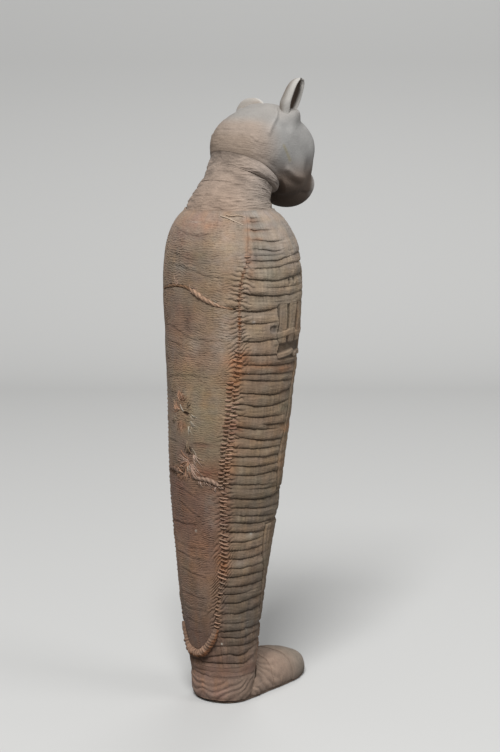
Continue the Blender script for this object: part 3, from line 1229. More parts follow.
def lattice_relief(edge):
    """The relief of a lattice that starts at an edge."""

    def relief_of(angle, height):
        posts = lattice_posts(angle, height)
        strips = np.maximum(posts * 0.8, lattice_levels(angle, height))
        rim = 0.62 + 0.38 * eased((side_of(angle) - table_at(height, edge)[0]) / 1.2)
        threads = 0.14 * noise(403, angle / 0.9, height / 8.0) * posts
        threads = threads + 0.10 * noise(404, angle / 6.0, height / 0.9)
        relief = LATTICE_GROUND + strips * LATTICE_RISE * rim + threads
        relief = relief + 0.40 * noise(405, angle / 5.0, height / 9.0) * strips
        relief = relief + 0.25 * np.clip(fold_relief(angle, height)[0] - FOLD_CREST, -1.0, 0.0) * strips
        tint = tint_of(angle, height, relief - 0.5)
        return relief, np.zeros_like(relief), tint * (0.66 + 0.40 * strips)[..., None]

    return relief_of


def apron_relief(edge, low, high, seed):
    """The relief of an apron that starts at an edge, between two heights."""

    def relief_of(angle, height):
        inside = (side_of(angle) - table_at(height, edge)[0]) * 0.75
        rim = eased(inside / 1.6) * eased((height - low) / 1.6) * eased((high - height) / 1.6)
        broad = 0.35 * noise(seed, angle / 6.0, height / 25.0)
        under = np.clip(fold_relief(angle, height)[0] - FOLD_CREST, -1.2, 0.0)
        fine = 0.11 * noise(seed + 1, angle / 0.8, height / 12.0)
        fine = fine + 0.06 * noise(seed + 2, angle / 4.0, height / 1.0)
        pleats = 0.55 * ridged(inside / PLEAT_WIDTH, 3)
        relief = APRON_GROUND + rim * (1.2 + pleats + broad + 0.45 * under) + fine
        return relief, np.zeros_like(relief), tint_of(angle, height, 0.9 * (relief - 0.5))

    return relief_of


def edge_of(table):
    """The edge that a table gives, as a function of the height."""
    return lambda height: table_at(height, table)[0]


def make_front():
    for name, node_name, edge, low, high, seed in FRONT_STRIPS:
        relief_of = apron_relief(edge, low, high, seed) if seed else lattice_relief(edge)
        first = edge_of(edge)
        last = left_of(first)
        piece = wall_piece(name, steady(low), steady(high), first, last, relief_of, FRONT_INSIDE)
        dress(piece, "front_linen", node_name)


# Shoulders and ankle


def make_shoulders():
    line = fold_line(BAND_EDGES[-1])
    piece = wall_piece(
        "shoulder_wrap",
        lambda angle: line(angle) + EDGE_GAP / MM / 2,
        cloth_top,
        band_start,
        left_of(band_start, left=1.0),
        band_relief,
    )
    dress(piece, "neck_linen", "shoulder_cloth")


# Folds of the ankle: height, depth, wave
ANKLE_FOLDS = ((24.6, 0.50, 0.8), (20.4, 0.80, 0.9))
# How far the heel stands out, by height
HEEL_SECTION = ((3.0, -1.5), (5.0, -0.8), (9.0, -0.4), (14.0, -0.3), (18.0, -0.35), (21.0, -0.45),
                (29.0, -0.15))
# Where the heel's windings meet the ankle's, the gap there, and how deep both reach
ANKLE_JOIN, ANKLE_GAP, ANKLE_INSIDE = 20.9, 0.15, -BAND_DEPTH / MM * 0.9


def ankle_relief(angle, height):
    """Folds above the heel and slanting windings round it, with their tint."""
    section = table_at(height, HEEL_SECTION)[0]
    relief, droop = section, blank(angle, height)
    for level, depth, wave in ANKLE_FOLDS:
        line = level + wave * noise(int(level), angle / 22.0) + 0.2 * noise(int(level) + 1, angle / 5.0)
        behind = eased((25.0 - abs(angle + 8.0)) / 30.0 + 0.4 * noise(436, angle / 30.0))
        depth = depth * (0.35 + 0.65 * behind)
        relief = relief - 1.4 * depth * skirt(height - line, 1.1, 2.2)
        droop = np.maximum(droop, 0.8 * depth * overhang(height - line))

    side = side_of(angle)
    slant = height - 0.24 * np.hypot(side - 20.0, 9.0)
    wraps = ridged(slant / 5.0 + 0.45 * noise(433, angle / 24.0, height / 7.0), 1.6) - 0.45
    strength = 0.62 * (0.8 + 0.5 * noise(434, angle / 15.0, height / 6.0)) * eased((19.5 - height) / 3.0)
    twill = 0.09 * np.cos(2 * math.pi * (slant / 1.15 + 0.5 * noise(435, angle / 6.0, height / 4.0)))
    detail = wraps * strength + twill + 0.15 * rough_noise(431, angle / 3.0, height / 2.0)
    relief = relief + detail
    tint = tint_of(angle, height, 1.1 * (relief - section) + 0.9 * detail) * np.array([1.10, 1.06, 1.06])
    towards_foot = eased((side - 30.0) / 50.0) * eased((24.0 - height) / 6.0)
    wear = np.clip(0.86 + 0.5 * detail, 0.5, 1.15)[..., None]
    tint = blended(tint, np.array([0.290, 0.210, 0.158]) * wear, 0.85 * towards_foot)

    above_edge = np.clip(height - heel_foot(angle), 0.0, None)
    return relief - 1.2 * np.exp(-above_edge / 2.0) * eased((side - 80.0) / 30.0), droop, tint


def heel_foot(angle):
    """The lower edge of the heel's windings, which climbs over the instep."""
    return 2.6 + 12.0 * eased((side_of(angle) - 90.0) / 38.0)


def make_ankle():
    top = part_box("ankle_band_2")[1].z / MM
    for name, node_name, low_of, high_of in (
        ("heel_windings", "ankle_band_1", heel_foot, steady(ANKLE_JOIN)),
        ("ankle_windings", "ankle_band_2", steady(ANKLE_JOIN + ANKLE_GAP), steady(top)),
    ):
        first, last = steady(-180.0), steady(180.0)
        piece = wall_piece(name, low_of, high_of, first, last, ankle_relief, ANKLE_INSIDE, ring=True)
        dress(piece, "foot_linen", node_name)


# Foot: forward place, half width and height of its sections in metres, as in the solid
FOOT_SECTIONS = (
    (-0.0225, 0.0080, 0.0110),
    (-0.0195, 0.0140, 0.0140),
    (-0.0120, 0.0200, 0.0155),
    (0.0000, 0.0222, 0.0165),
    (0.0120, 0.0220, 0.0190),
    (0.0240, 0.0215, 0.0225),
    (0.0420, 0.0212, 0.0222),
    (0.0570, 0.0194, 0.0200),
    (0.0680, 0.0152, 0.0170),
    (0.0745, 0.0100, 0.0130),
    (0.0780, 0.0050, 0.0090),
)
# The foot's section from its side to its top: share of the way, then shares of its half width and height
FOOT_ARCH = ((0.0, 1.00, 0.00), (0.15, 1.03, 0.30), (0.30, 0.98, 0.56), (0.50, 0.80, 0.82),
             (0.75, 0.45, 0.97), (1.0, 0.0, 1.0))
# Heights in metres: the sole's top, the ankle's section at the foot, and the foot's top inside the ankle
SOLE_TOP, ANKLE_LEVEL, POCKET_TOP = 0.0023, 0.016, 0.0140
FOOT_ROWS, FOOT_COLUMNS = 230, 150


def foot_surface(forward, arch):
    """Points over the foot. arch runs from -1 at the right edge over the top at 0 to 1 at the left edge."""
    half_width, height = table_at(forward, FOOT_SECTIONS)
    across, up = table_at(1.0 - abs(arch), FOOT_ARCH)
    return stacked(np.sign(arch) * across * half_width, -forward, np.maximum(up * height, SOLE_TOP))


def foot_normals(points):
    normals = unit(np.cross(np.gradient(points, axis=1), np.gradient(points, axis=0)))
    return normals * np.sign(normals[..., 2].mean())


def foot_relief(forward, arch):
    """Slanting wraps over the instep, and calmer cloth towards the toe."""
    ahead = forward / MM
    slant = ahead - 20.0 + (1.0 - abs(arch)) * 34.0 * eased((52.0 - ahead) / 40.0) + np.sign(arch) * 1.5
    wave = slant / 6.4 + 0.5 * noise(501, ahead / 14.0, arch * 3.0)
    wave = wave + 0.15 * noise(502, ahead / 4.0, arch * 8.0)
    strength = 0.62 * eased((44.0 - ahead) / 24.0) + 0.14 * eased((64.0 - ahead) / 20.0)
    fine = 0.10 * rough_noise(505, ahead / 2.6, arch * 9.0)
    rows = ahead / 1.25 + arch * 3.0 + 0.6 * noise(507, ahead / 5.0, arch * 5.0)
    twill = 0.07 * np.cos(2 * math.pi * rows)
    return strength * (ridged(wave, 1.6) - 0.7) + fine + twill + 0.15 * noise(506, ahead / 11.0, arch * 2.5)


def off_the_ankle(points):
    """How many millimetres points lie outside the ankle, and how far ahead of its middle, as a share."""
    half_width, half_depth, ahead = [float(v) for v in table_at(np.array(ANKLE_LEVEL), SECTIONS)]
    x, y = points[..., 0], points[..., 1] + ahead
    return (np.hypot(x / half_width, y / half_depth) - 1.0) * half_depth / MM, -y / half_depth


def foot_skin(forward, arch, lift):
    """Points of the foot's cloth raised by lift millimetres, and its relief."""
    points = foot_surface(forward, arch)
    behind = eased((0.010 - forward) / 0.012)
    relief = foot_relief(forward, arch) * (1.0 - behind)
    quiet = eased((1.0 - abs(arch)) / 0.08)
    away, _ = off_the_ankle(points)
    rise = 0.9 * bell(np.clip(away, 0.0, None) / 3.0)
    offset = (relief - 1.1 * behind) * quiet + lift + rise * (1.0 - behind)
    points = points + foot_normals(points) * (offset * MM)[..., None]
    height = np.maximum(points[..., 2], SOLE_TOP)

    away, ahead = off_the_ankle(points)
    fillet = 5.2 * np.exp(-np.clip(away, 0.0, None) / 3.4) * eased((ahead - 0.25) / 0.5) * MM
    height = height + fillet * (height > 0.010)
    points[..., 2] = np.where(away < 0.12, np.minimum(height, POCKET_TOP), height)
    return points, relief


def foot_tint(forward, arch, height, relief):
    ahead, up = forward / MM, height / MM
    colour = blended((0.305, 0.218, 0.165), (0.232, 0.190, 0.150), eased((ahead - 34.0) / 30.0))
    near_ankle = eased((32.0 - ahead) / 16.0) * eased((up - 9.0) / 8.0)
    colour = blended(colour, (0.232, 0.166, 0.124), 0.8 * near_ankle)
    mottle = 1.04 + 0.42 * relief + 0.10 * rough_noise(511, ahead / 8.0, arch * 4.0)
    mottle = mottle + 0.10 * rough_noise(512, ahead / 2.0, arch * 12.0)
    dirty = 0.30 * eased((8.0 - up) / 6.0)
    return colour * (mottle * (1.0 - dirty))[..., None]


def with_underside(grid):
    """The values over the foot, and those of its two lower edges again for the underside."""
    return np.concatenate([grid, grid[:, [-1, 0]]], 1)


def make_foot():
    heel, toe = FOOT_SECTIONS[0][0], FOOT_SECTIONS[-1][0]
    arch, forward = np.meshgrid(np.linspace(-1.0, 1.0, FOOT_COLUMNS), np.linspace(heel, toe, FOOT_ROWS))
    points, relief = foot_skin(forward, arch, 0.0)
    colour = with_underside(foot_tint(forward, arch, points[..., 2], relief))
    place = with_underside(stacked(arch * 0.03, forward, 0.0))
    points = with_underside(points)
    points[:, -2:, 2] = SOLE_TOP
    piece = capped("foot_wrap", points, colour, place)
    dress(piece, "foot_linen", "foot_cloth", "foot_stuffing")


# Strips over the foot: piece, node, where each starts and ends in millimetres ahead, slant
FOOT_STRIPS = (
    ("instep_strip", "instep_band", 27.5, 38.5, 2.5),
    ("toe_strip", "toe_band", 46.5, 57.5, -2.0),
)
# A strip's thickness at its edge and in all, its gap to the foot, how far round it runs, and its rows
STRIP_RIM, STRIP_THICKNESS, STRIP_CLEARANCE, STRIP_REACH, STRIP_ROWS = 0.12, 0.42, 0.08, 0.985, 46


def make_foot_strips():
    for seed, (name, node_name, start, end, slant) in enumerate(FOOT_STRIPS):
        columns = np.linspace(-STRIP_REACH, STRIP_REACH, FOOT_COLUMNS)
        arch, share = np.meshgrid(columns, np.linspace(0.0, 1.0, STRIP_ROWS))
        ragged = 0.35 * noise(521 + seed, arch * 9.0) + 0.12 * noise(523 + seed, arch * 40.0)
        forward = (start + (end - start) * share + slant * arch + ragged * (1.0 - 2.0 * share)) * MM
        rim = np.clip(np.minimum(share, 1.0 - share) * (end - start) / 0.7, 0.0, 1.0) ** 0.5
        thickness = STRIP_RIM + (STRIP_THICKNESS - STRIP_RIM) * rim
        inner, relief = foot_skin(forward, arch, STRIP_CLEARANCE)
        outer, _ = foot_skin(forward, arch, STRIP_CLEARANCE + thickness)
        colour = foot_tint(forward, arch, outer[..., 2], relief + 0.3 * rim - 0.2)
        piece = shell(name, outer, inner, colour, stacked(arch * 0.03, forward, 0.0), stride=3)
        dress(piece, "foot_linen", node_name)


# Sole: rings from the middle of its underside round the edge to the middle of its top, as a share of the
# outline and a height in millimetres
SOLE_RINGS = ((0.03, 0.10), (0.20, 0.10), (0.45, 0.06), (0.70, 0.06), (0.88, 0.0), (0.965, 0.10),
              (0.995, 0.45), (1.0, 1.0), (0.995, 1.5), (0.965, 1.9), (0.88, 2.0), (0.45, 2.0), (0.03, 2.0))
SOLE_ROWS, SOLE_TINT = 110, (0.190, 0.135, 0.100)


def make_sole():
    """The flat cloth that the mummy stands on."""
    heel, toe = FOOT_SECTIONS[0][0], FOOT_SECTIONS[-1][0]
    along = (1.0 - np.cos(np.linspace(0.0, math.pi, SOLE_ROWS))) / 2
    forward = heel + (toe - heel) * along
    half_width = table_at(forward, FOOT_SECTIONS)[0]
    outline_x = np.concatenate([half_width, -half_width[::-1]])
    outline_y = np.concatenate([-forward, -forward[::-1]])
    turn = np.arange(len(outline_x)) / len(outline_x)
    middle = -(heel + toe) / 2
    share, height = np.array(SOLE_RINGS).T[..., None]
    ragged = 1.0 - 0.010 * (share > 0.9) * (0.5 + 0.5 * noise(531, turn * 60.0))
    x = outline_x * share * ragged
    y = middle + (outline_y - middle) * share * ragged
    lift = np.clip(height + 0.06 * noise(533, x / 0.004, y / 0.004) * (height > 0.0), 0.0, 2.0)
    mottle = 1.0 + 0.15 * rough_noise(535, x / 0.009, y / 0.009)
    colour = np.array(SOLE_TINT) * mottle[..., None]
    piece = capped("sole_pad", stacked(x, y, lift * MM), colour, stacked(x, y, 0.0))
    dress(piece, "foot_linen", "sole_cloth")


# Neck: forward place, height, forward tilt, outer half width and half depth of its planes
NECK_PLANES = (
    (0.0030, 0.3513, 0.0, 0.0325, 0.0300),
    (0.0050, 0.3590, 9.0, 0.0290, 0.0268),
    (0.0090, 0.3660, 18.0, 0.0258, 0.0240),
    (0.0140, 0.3730, 27.0, 0.0244, 0.0228),
    (0.0202, 0.3788, 36.0, 0.0250, 0.0250),
)
# Parts between the planes: piece, node, bulge, winding lines as shares
NECK_PARTS = (
    ("lower_neck_winding", "neck_band_lower", 0.35, (0.34, 0.62)),
    ("middle_neck_winding", "neck_band_middle", 0.45, (0.28, 0.66)),
    ("upper_neck_winding", "neck_band_upper", 0.40, (0.33, 0.66)),
    ("throat_wrap", "throat_roll", 2.6, (0.16, 0.66)),
)
THROAT = len(NECK_PARTS) - 1
# The gap between the parts as a share of one, the bore's radius and the throat's height
NECK_JOIN, NECK_BORE, THROAT_HEIGHT = 0.005, 0.0083, 8.5
# Mean radius of the neck and rise of a part, and the steps of their grids, all in metres
NECK_RADIUS, NECK_RISE, NECK_COLUMN, NECK_ROW = 0.028, 0.0105, 0.00045, 0.00028
# Where the mask reaches down over the nape, in degrees from the back, and the gap below it
NAPE_END, NAPE_FADE, RIM_GAP = 105.0, 50.0, 0.06


def neck_points(index, share, angle, extra):
    """Points of a neck part, some way up it and raised by extra millimetres."""
    planes = [(number, *row) for number, row in enumerate(NECK_PLANES)]
    forward, height, tilt, half_width, half_depth = table_at(index + share, planes)
    turn, lean = np.radians(angle), np.radians(tilt)
    wide = (half_width + extra * MM) * np.sin(turn)
    deep = (half_depth + extra * MM) * np.cos(turn)
    return stacked(-wide, -forward + deep * np.cos(lean), height + deep * np.sin(lean))


def neck_relief(index, angle, up, swell):
    """Relief of a neck part, first its bulge alone and then with its windings."""
    _, _, bulge, lines = NECK_PARTS[index]
    side = side_of(angle)
    if index == THROAT:
        thick = eased((side - 24.0) / 50.0)
        plain = bulge * (1.45 * swell - 0.5) * thick + 0.3 * (1.0 - thick)
    else:
        patchy = np.clip(0.55 + 0.8 * noise(619 + index, angle / 30.0), 0.1, 1.2)
        plain = 0.10 + bulge * (swell - 1.0) * patchy
    if index == 0:
        plain = plain - 0.35 * (1.0 - eased(up / 0.35))
    relief = plain
    for number, line in enumerate(lines):
        line = line + 0.20 * noise(601 + index * 5 + number, angle / 38.0) + 0.04 * noise(602, angle / 8.0)
        depth = np.clip(0.32 + 0.50 * noise(607 + number + index, angle / 24.0), 0.0, 0.9)
        relief = relief - depth * skirt((up - line) * 8.0, 0.9, 1.9)
    relief = relief + 0.30 * noise(611 + index, angle / 18.0, up * 3.0)
    rows = noise(617, angle / 34.0 + (index + up) * 2.0, (index + up) * 4.2 - angle / 22.0)
    relief = relief + 0.36 * (1.0 - 2.0 * abs(rows)) * eased((side - 10.0) / 30.0)
    relief = relief + 0.09 * rough_noise(612 + index, angle / 3.0, up * 7.0)
    twill = up * 5.0 + 0.6 * noise(613, angle / 6.0, up * 2.0)
    return plain, relief + 0.09 * np.cos(2 * math.pi * twill)


def neck_tint(index, share, angle, wear):
    pale = eased((side_of(angle) - 30.0) / 60.0)
    low = blended((0.360, 0.262, 0.200), (0.310, 0.252, 0.205), pale)
    high = blended((0.330, 0.264, 0.217), (0.300, 0.255, 0.225), pale)
    colour = blended(low, high, np.clip((index + share) / 4.0, 0.0, 1.0))
    mottle = 1.0 + 0.12 * rough_noise(615, angle / 7.0, share * 4.0 + index * 4.0)
    return colour * (wear * mottle)[..., None]


def make_neck():
    for index, (name, node_name, _, _) in enumerate(NECK_PARTS):
        angle = shares(2 * math.pi * NECK_RADIUS, NECK_COLUMN, ring=True)[None, :] * 360.0
        up = shares(NECK_RISE, NECK_ROW)[:, None]
        rim, rim_drop, nape = head_rim(np.radians(angle))
        top = 1.0 - (rim_drop + RIM_GAP) / THROAT_HEIGHT if index == THROAT else 1.0
        share = NECK_JOIN + (top - NECK_JOIN) * up
        angle, share, up = np.broadcast_arrays(angle, share, up)
        swell = np.clip(4.0 * up * (1.0 - up), 0.0, 1.0) ** (0.35 if index == THROAT else 0.30)
        plain, relief = neck_relief(index, angle, up, swell)
        outer = neck_points(index, share, angle, relief)
        if index == THROAT:
            outer = blended(outer, rim + HEAD_POLE * (RIM_GAP * MM), nape * eased((up - 0.25) / 0.75))
        inside = neck_points(index, share, angle, 0.0)
        centre = inside.mean(1, keepdims=True)
        inside = centre + unit(inside - centre) * NECK_BORE
        wear = np.clip(1.0 + 0.30 * (relief - plain) + 0.08 * (swell - 0.8), 0.62, 1.16)
        place = stacked(np.radians(angle) * 0.027, (index + share) * 0.008, 0.0)
        piece = shell(name, outer, inside, neck_tint(index, share, angle, wear), place, ring=True)
        dress(piece, "neck_linen", node_name)


# Head: its tilt, then its axes towards the neck and towards the nape
HEAD_TILT = NECK_PLANES[-1][2]
HEAD_POLE = np.array([0.0, math.sin(math.radians(HEAD_TILT)), -math.cos(math.radians(HEAD_TILT))])
HEAD_BACK = np.array([0.0, math.cos(math.radians(HEAD_TILT)), math.sin(math.radians(HEAD_TILT))])
# From the head's centre down to its rim, and the gap to the neck there
HEAD_TO_RIM, CLEARANCE = 0.0197, 0.0003
HEAD_CENTRE = np.array([0.0, -NECK_PLANES[-1][0], NECK_PLANES[-1][1]]) - HEAD_POLE * (HEAD_TO_RIM + CLEARANCE)
# Lumps of the head: forward, sideways and up from its centre, then half sizes on the same axes
HEAD_LUMPS = (
    (-0.0008, 0.0000, -0.0012, 0.0365, 0.0290, 0.0285),
    (0.0092, 0.0000, 0.0073, 0.0240, 0.0250, 0.0225),
    (0.0217, 0.0000, 0.0023, 0.0225, 0.0270, 0.0185),
    (0.0152, 0.0150, -0.0147, 0.0210, 0.0150, 0.0180),
    (0.0152, -0.0150, -0.0147, 0.0210, 0.0150, 0.0180),
    (0.0322, 0.0000, -0.0282, 0.0200, 0.0185, 0.0155),
)
LUMP_BLEND, MASK_THICKNESS = 0.0029, 0.0028
# The angle of the rim from the axis to the neck, that of the crown, and the grid between them
RIM_POLAR, CROWN_POLAR = math.atan2(NECK_PLANES[-1][3], HEAD_TO_RIM), math.pi - 0.004
HEAD_COLUMNS, HEAD_ROWS, HALVINGS = 320, 230, 22

# Forms on the head, in millimetres forward, sideways and up from its centre: place, radius, amount.
# Each is on both sides of the face.
HEAD_BUMPS = (
    (22.5, 27.0, -13.0, 6.5, -2.2),
    (13.0, 27.0, -19.5, 6.0, 1.0),
    (3.9, 27.5, 11.0, 3.5, 0.6),
    (27.0, 23.0, -21.0, 5.0, -1.6),
    (40.0, 12.5, -23.0, 8.5, 2.6),
    (41.0, 0.0, -12.0, 9.0, 2.6),
    (49.0, 0.0, -21.0, 4.0, 1.4),
    (33.0, 13.0, -6.5, 5.0, -1.2),
    (3.5, 23.0, 13.5, 4.5, -1.6),
    (16.5, 18.5, 21.5, 5.5, 4.6),
    (9.0, 21.5, 20.5, 6.5, 5.2),
    (6.0, 10.0, 27.0, 8.0, 1.2),
    (29.5, 25.5, -3.0, 9.0, 1.7),
    (-10.4, 26.2, -13.5, 8.0, -0.5),
    (-20.0, 24.0, -2.0, 6.0, -0.6),
)
# Ridges and creases on the head: width, amounts at their two ends, then points
HEAD_LINES = (
    (1.7, 2.8, 1.3, ((1.0, 16.5, 26.5), (-1.2, 19.3, 23.8), (-4.2, 21.3, 20.6), (-8.5, 22.6, 17.4),
                     (-12.0, 23.6, 14.2), (-14.5, 24.4, 11.0))),
    (1.3, -1.3, -1.1, ((26.6, 18.5, -32.0), (33.0, 17.9, -33.2), (38.5, 17.0, -32.4), (46.0, 9.0, -33.0),
                       (50.0, 0.0, -31.0))),
    (1.0, -0.9, -0.6, ((51.0, 0.0, -30.0), (52.0, 0.0, -24.5), (50.5, 5.0, -21.0))),
    (1.2, 0.8, 0.6, ((26.0, 20.0, -2.0), (32.0, 17.0, -2.5), (38.0, 10.0, -6.0))),
    (2.0, 1.2, 0.9, ((1.2, 28.1, -14.6), (8.0, 28.6, -18.6), (17.2, 28.0, -20.6))),
    (2.6, -0.8, -1.6, ((-4.0, 27.0, -18.5), (4.0, 27.6, -22.8), (14.0, 27.0, -26.0))),
    (1.1, 0.8, 0.5, ((-25.9, 18.6, 8.5), (-23.8, 21.4, 5.8))),
    (1.0, 0.5, 0.3, ((-27.5, 17.2, 6.5), (-25.6, 20.4, 3.4))),
    (0.9, -0.5, -0.3, ((-33.0, 0.0, 13.0), (-31.0, 8.0, 11.8), (-27.6, 14.5, 12.6))),
    (0.9, -0.5, -0.3, ((-34.6, 0.0, 8.6), (-33.0, 7.0, 7.6), (-30.0, 13.0, 8.4))),
    (0.9, -0.4, -0.4, ((-35.6, 0.0, 3.0), (-34.0, 8.0, 2.4), (-31.0, 14.0, 3.6))),
)


def head_surface(direction):
    """How far the head's surface lies from its centre in each direction, found by halving."""
    near = np.zeros(direction.shape[:-1])
    far = np.full(direction.shape[:-1], 4 * HEAD_TO_RIM)
    for _ in range(HALVINGS):
        middle = (near + far) / 2
        total = -1.0
        for forward, side, rise, *half in HEAD_LUMPS:
            away = direction * middle[..., None] - np.array([-side, -forward, rise])
            reach = np.linalg.norm(away / np.array([half[1], half[0], half[2]]), axis=-1)
            total = total + np.exp((1.0 - reach) * sum(half) / 3 / LUMP_BLEND)
        near = np.where(total > 0.0, middle, near)
        far = np.where(total > 0.0, far, middle)
    return near


def away_from_line(place, points):
    """Distance of each place to a line through points, and how far along the line it is, from 0 to 1."""
    best = np.full(place.shape[:-1], np.inf)
    along = np.zeros(place.shape[:-1])
    for number, (start, end) in enumerate(zip(points[:-1], points[1:])):
        run = np.array(end) - np.array(start)
        share = np.clip(np.sum((place - start) * run, -1) / np.sum(run * run), 0.0, 1.0)
        away = np.linalg.norm(place - start - run * share[..., None], axis=-1)
        along = np.where(away < best, (number + share) / (len(points) - 1), along)
        best = np.minimum(best, away)
    return best, along


def head_relief(place):
    """Relief in millimetres, for places counted from the head's centre: forward, sideways, up."""
    forward, side, rise = place[..., 0], place[..., 1], place[..., 2]
    folded = stacked(forward, abs(side), rise)
    relief = np.zeros(forward.shape)
    for *middle, radius, amount in HEAD_BUMPS:
        relief += amount * bell(np.linalg.norm(folded - np.array(middle), axis=-1) / radius)
    for width, first, last, points in HEAD_LINES:
        away, along = away_from_line(folded, points)
        relief += (first + (last - first) * along) * bell(away / width)
    behind = eased((-forward - 4.0) / 14.0)
    sway = 0.9 * noise(701, forward / 5.0, side / 5.0, rise / 5.0)
    rows = np.cos(2 * math.pi * ((rise + 0.25 * forward) / 1.9 + sway))
    patchy = 0.5 + 0.5 * noise(704, forward / 7.0, side / 7.0, rise / 7.0)
    relief += behind * (0.10 * rows * patchy + 0.22 * rough_noise(702, forward / 3.5, side / 3.5, rise / 2.2))
    relief += behind * 0.30 * noise(703, forward / 12.0, side / 12.0, rise / 4.0)
    relief += 0.16 * noise(705, forward / 6.0, side / 6.0, rise / 6.0)
    relief += 0.05 * rough_noise(706, forward / 1.6, side / 1.6, rise / 1.6)
    return relief


def head_tint(place, relief):
    """Grey plaster, browner at the nape and under the jaw, with a pale muzzle and a streak on the cheek."""
    forward, side, rise = place[..., 0], place[..., 1], place[..., 2]
    behind = eased((-forward - 2.0) / 22.0)
    nape = eased((-forward - 23.0) / 8.0) * eased((14.0 - rise) / 8.0)
    low = eased((-rise - 3.0) / 20.0) * (1.0 - behind)
    muzzle = bell((rise + 25.0) / 9.0) * eased((forward - 34.0) / 7.0)
    streak, _ = away_from_line(place, ((-4.3, 29.1, 1.5), (2.0, 29.2, -8.3)))
    face = np.array((0.310, 0.302, 0.290))
    for colour, share in (
        ((0.330, 0.264, 0.217), behind),
        ((0.300, 0.282, 0.262), eased((rise - 15.0) / 9.0)),
        ((0.285, 0.218, 0.168), 0.8 * nape),
        ((0.180, 0.138, 0.110), low),
        ((0.112, 0.084, 0.066), eased((-rise - 21.0) / 12.0)),
        ((0.520, 0.490, 0.460), 0.85 * muzzle),
        ((0.290, 0.250, 0.150), 0.6 * bell(streak / 1.3)),
    ):
        face = blended(face, colour, share)
    mottle = 1.0 + 0.06 * rough_noise(711, forward / 5.0, side / 5.0, rise / 5.0)
    mottle = mottle + behind * 0.07 * rough_noise(712, forward / 1.5, side / 1.5, rise / 1.1)
    wear = np.clip(1.0 + 0.12 * relief, 0.7, 1.1)
    return face * (mottle * wear)[..., None]


def head_direction(turn, polar):
    """Unit vectors from the head's centre. turn runs round the neck, polar from the neck to the crown."""
    sideways = stacked(-np.sin(turn), 0.0, 0.0) + HEAD_BACK * np.cos(turn)[..., None]
    return HEAD_POLE * np.cos(polar)[..., None] + sideways * np.sin(polar)[..., None]


def head_rim(turn):
    """Points where the mask ends, how far below the neck's rim they are in millimetres, and the share of
    the nape there."""
    direction = head_direction(turn, np.full_like(turn, RIM_POLAR))
    full = head_surface(direction)
    on_rim = np.minimum(full, math.hypot(HEAD_TO_RIM, NECK_PLANES[-1][3]))
    nape = eased((NAPE_END - side_of(np.degrees(turn))) / NAPE_FADE)
    reach = on_rim * (1.0 - nape) + full * nape
    drop = np.clip(reach * math.cos(RIM_POLAR) - HEAD_TO_RIM, 0.0, None) / MM
    return HEAD_CENTRE + direction * reach[..., None], drop, nape


def make_head():
    turn = np.linspace(0.0, 2 * math.pi, HEAD_COLUMNS, endpoint=False)[None, :]
    polar = np.linspace(RIM_POLAR, CROWN_POLAR, HEAD_ROWS)[:, None]
    direction = head_direction(turn, polar)
    distance = head_surface(direction)
    place = direction * distance[..., None] / MM
    place = stacked(-place[..., 1], -place[..., 0], place[..., 2])
    relief = head_relief(place)
    edge = eased((polar - RIM_POLAR) / 0.10)
    start = np.linalg.norm(head_rim(turn)[0] - HEAD_CENTRE, axis=-1)
    outer_reach = (distance + relief * MM) * edge + start * (1.0 - edge)
    inner_reach = np.minimum(distance, outer_reach) - MASK_THICKNESS
    outer = HEAD_CENTRE + direction * outer_reach[..., None]
    inner = HEAD_CENTRE + direction * inner_reach[..., None]
    cloth = stacked(turn * 0.027, polar * 0.03, 0.0)
    piece = shell("head_mask_shell", outer, inner, head_tint(place, relief), cloth, ring=True)
    dress(piece, "head_plaster", "head_mask")


# Ears: side, root to the side, ahead and up from the head's centre, length, half width, cup depth, turn,
# lean, splay, how blunt the tip is, thickness, share of the width at the root. The left one is a worn stub.
EARS = {
    "right": (1.0, (0.0204, 0.0098, 0.0228), 0.0256, 0.0084, 0.0088, -76.0, 17.5, 9.3, 5.0, 0.0034, 0.62),
    "left": (-1.0, (0.0143, 0.0096, 0.0216), 0.0130, 0.0122, 0.0050, -10.0, 14.0, 8.0, 2.6, 0.0026, 0.95),
}
# Points round an ear's outside, lips and inside, its least half size, and the levels of its rings, which
# lie closer at its tip
EAR_OUTSIDE, EAR_LIP, EAR_INSIDE, EAR_LEAST = 64, 7, 48, 0.0004
EAR_LEVELS = np.concatenate([np.linspace(-0.28, 0.7, 60), 1.0 - 0.3 * np.linspace(1.0, 0.0, 40)[1:] ** 1.8])


def ear_place(ear, x, y, z):
    """A point of an ear from its place in the cup: across, out of the back, and up."""
    side, root, _, _, _, turn, lean, splay = ear[:8]
    angle = math.radians(turn * side)
    x, y = x * math.cos(angle) - y * math.sin(angle), x * math.sin(angle) + y * math.cos(angle)
    y = y - z * math.tan(math.radians(lean))
    x = x - side * z * math.tan(math.radians(splay))
    return HEAD_CENTRE + np.array([-side * root[0], -root[1], root[2]]) + stacked(x, y, z)


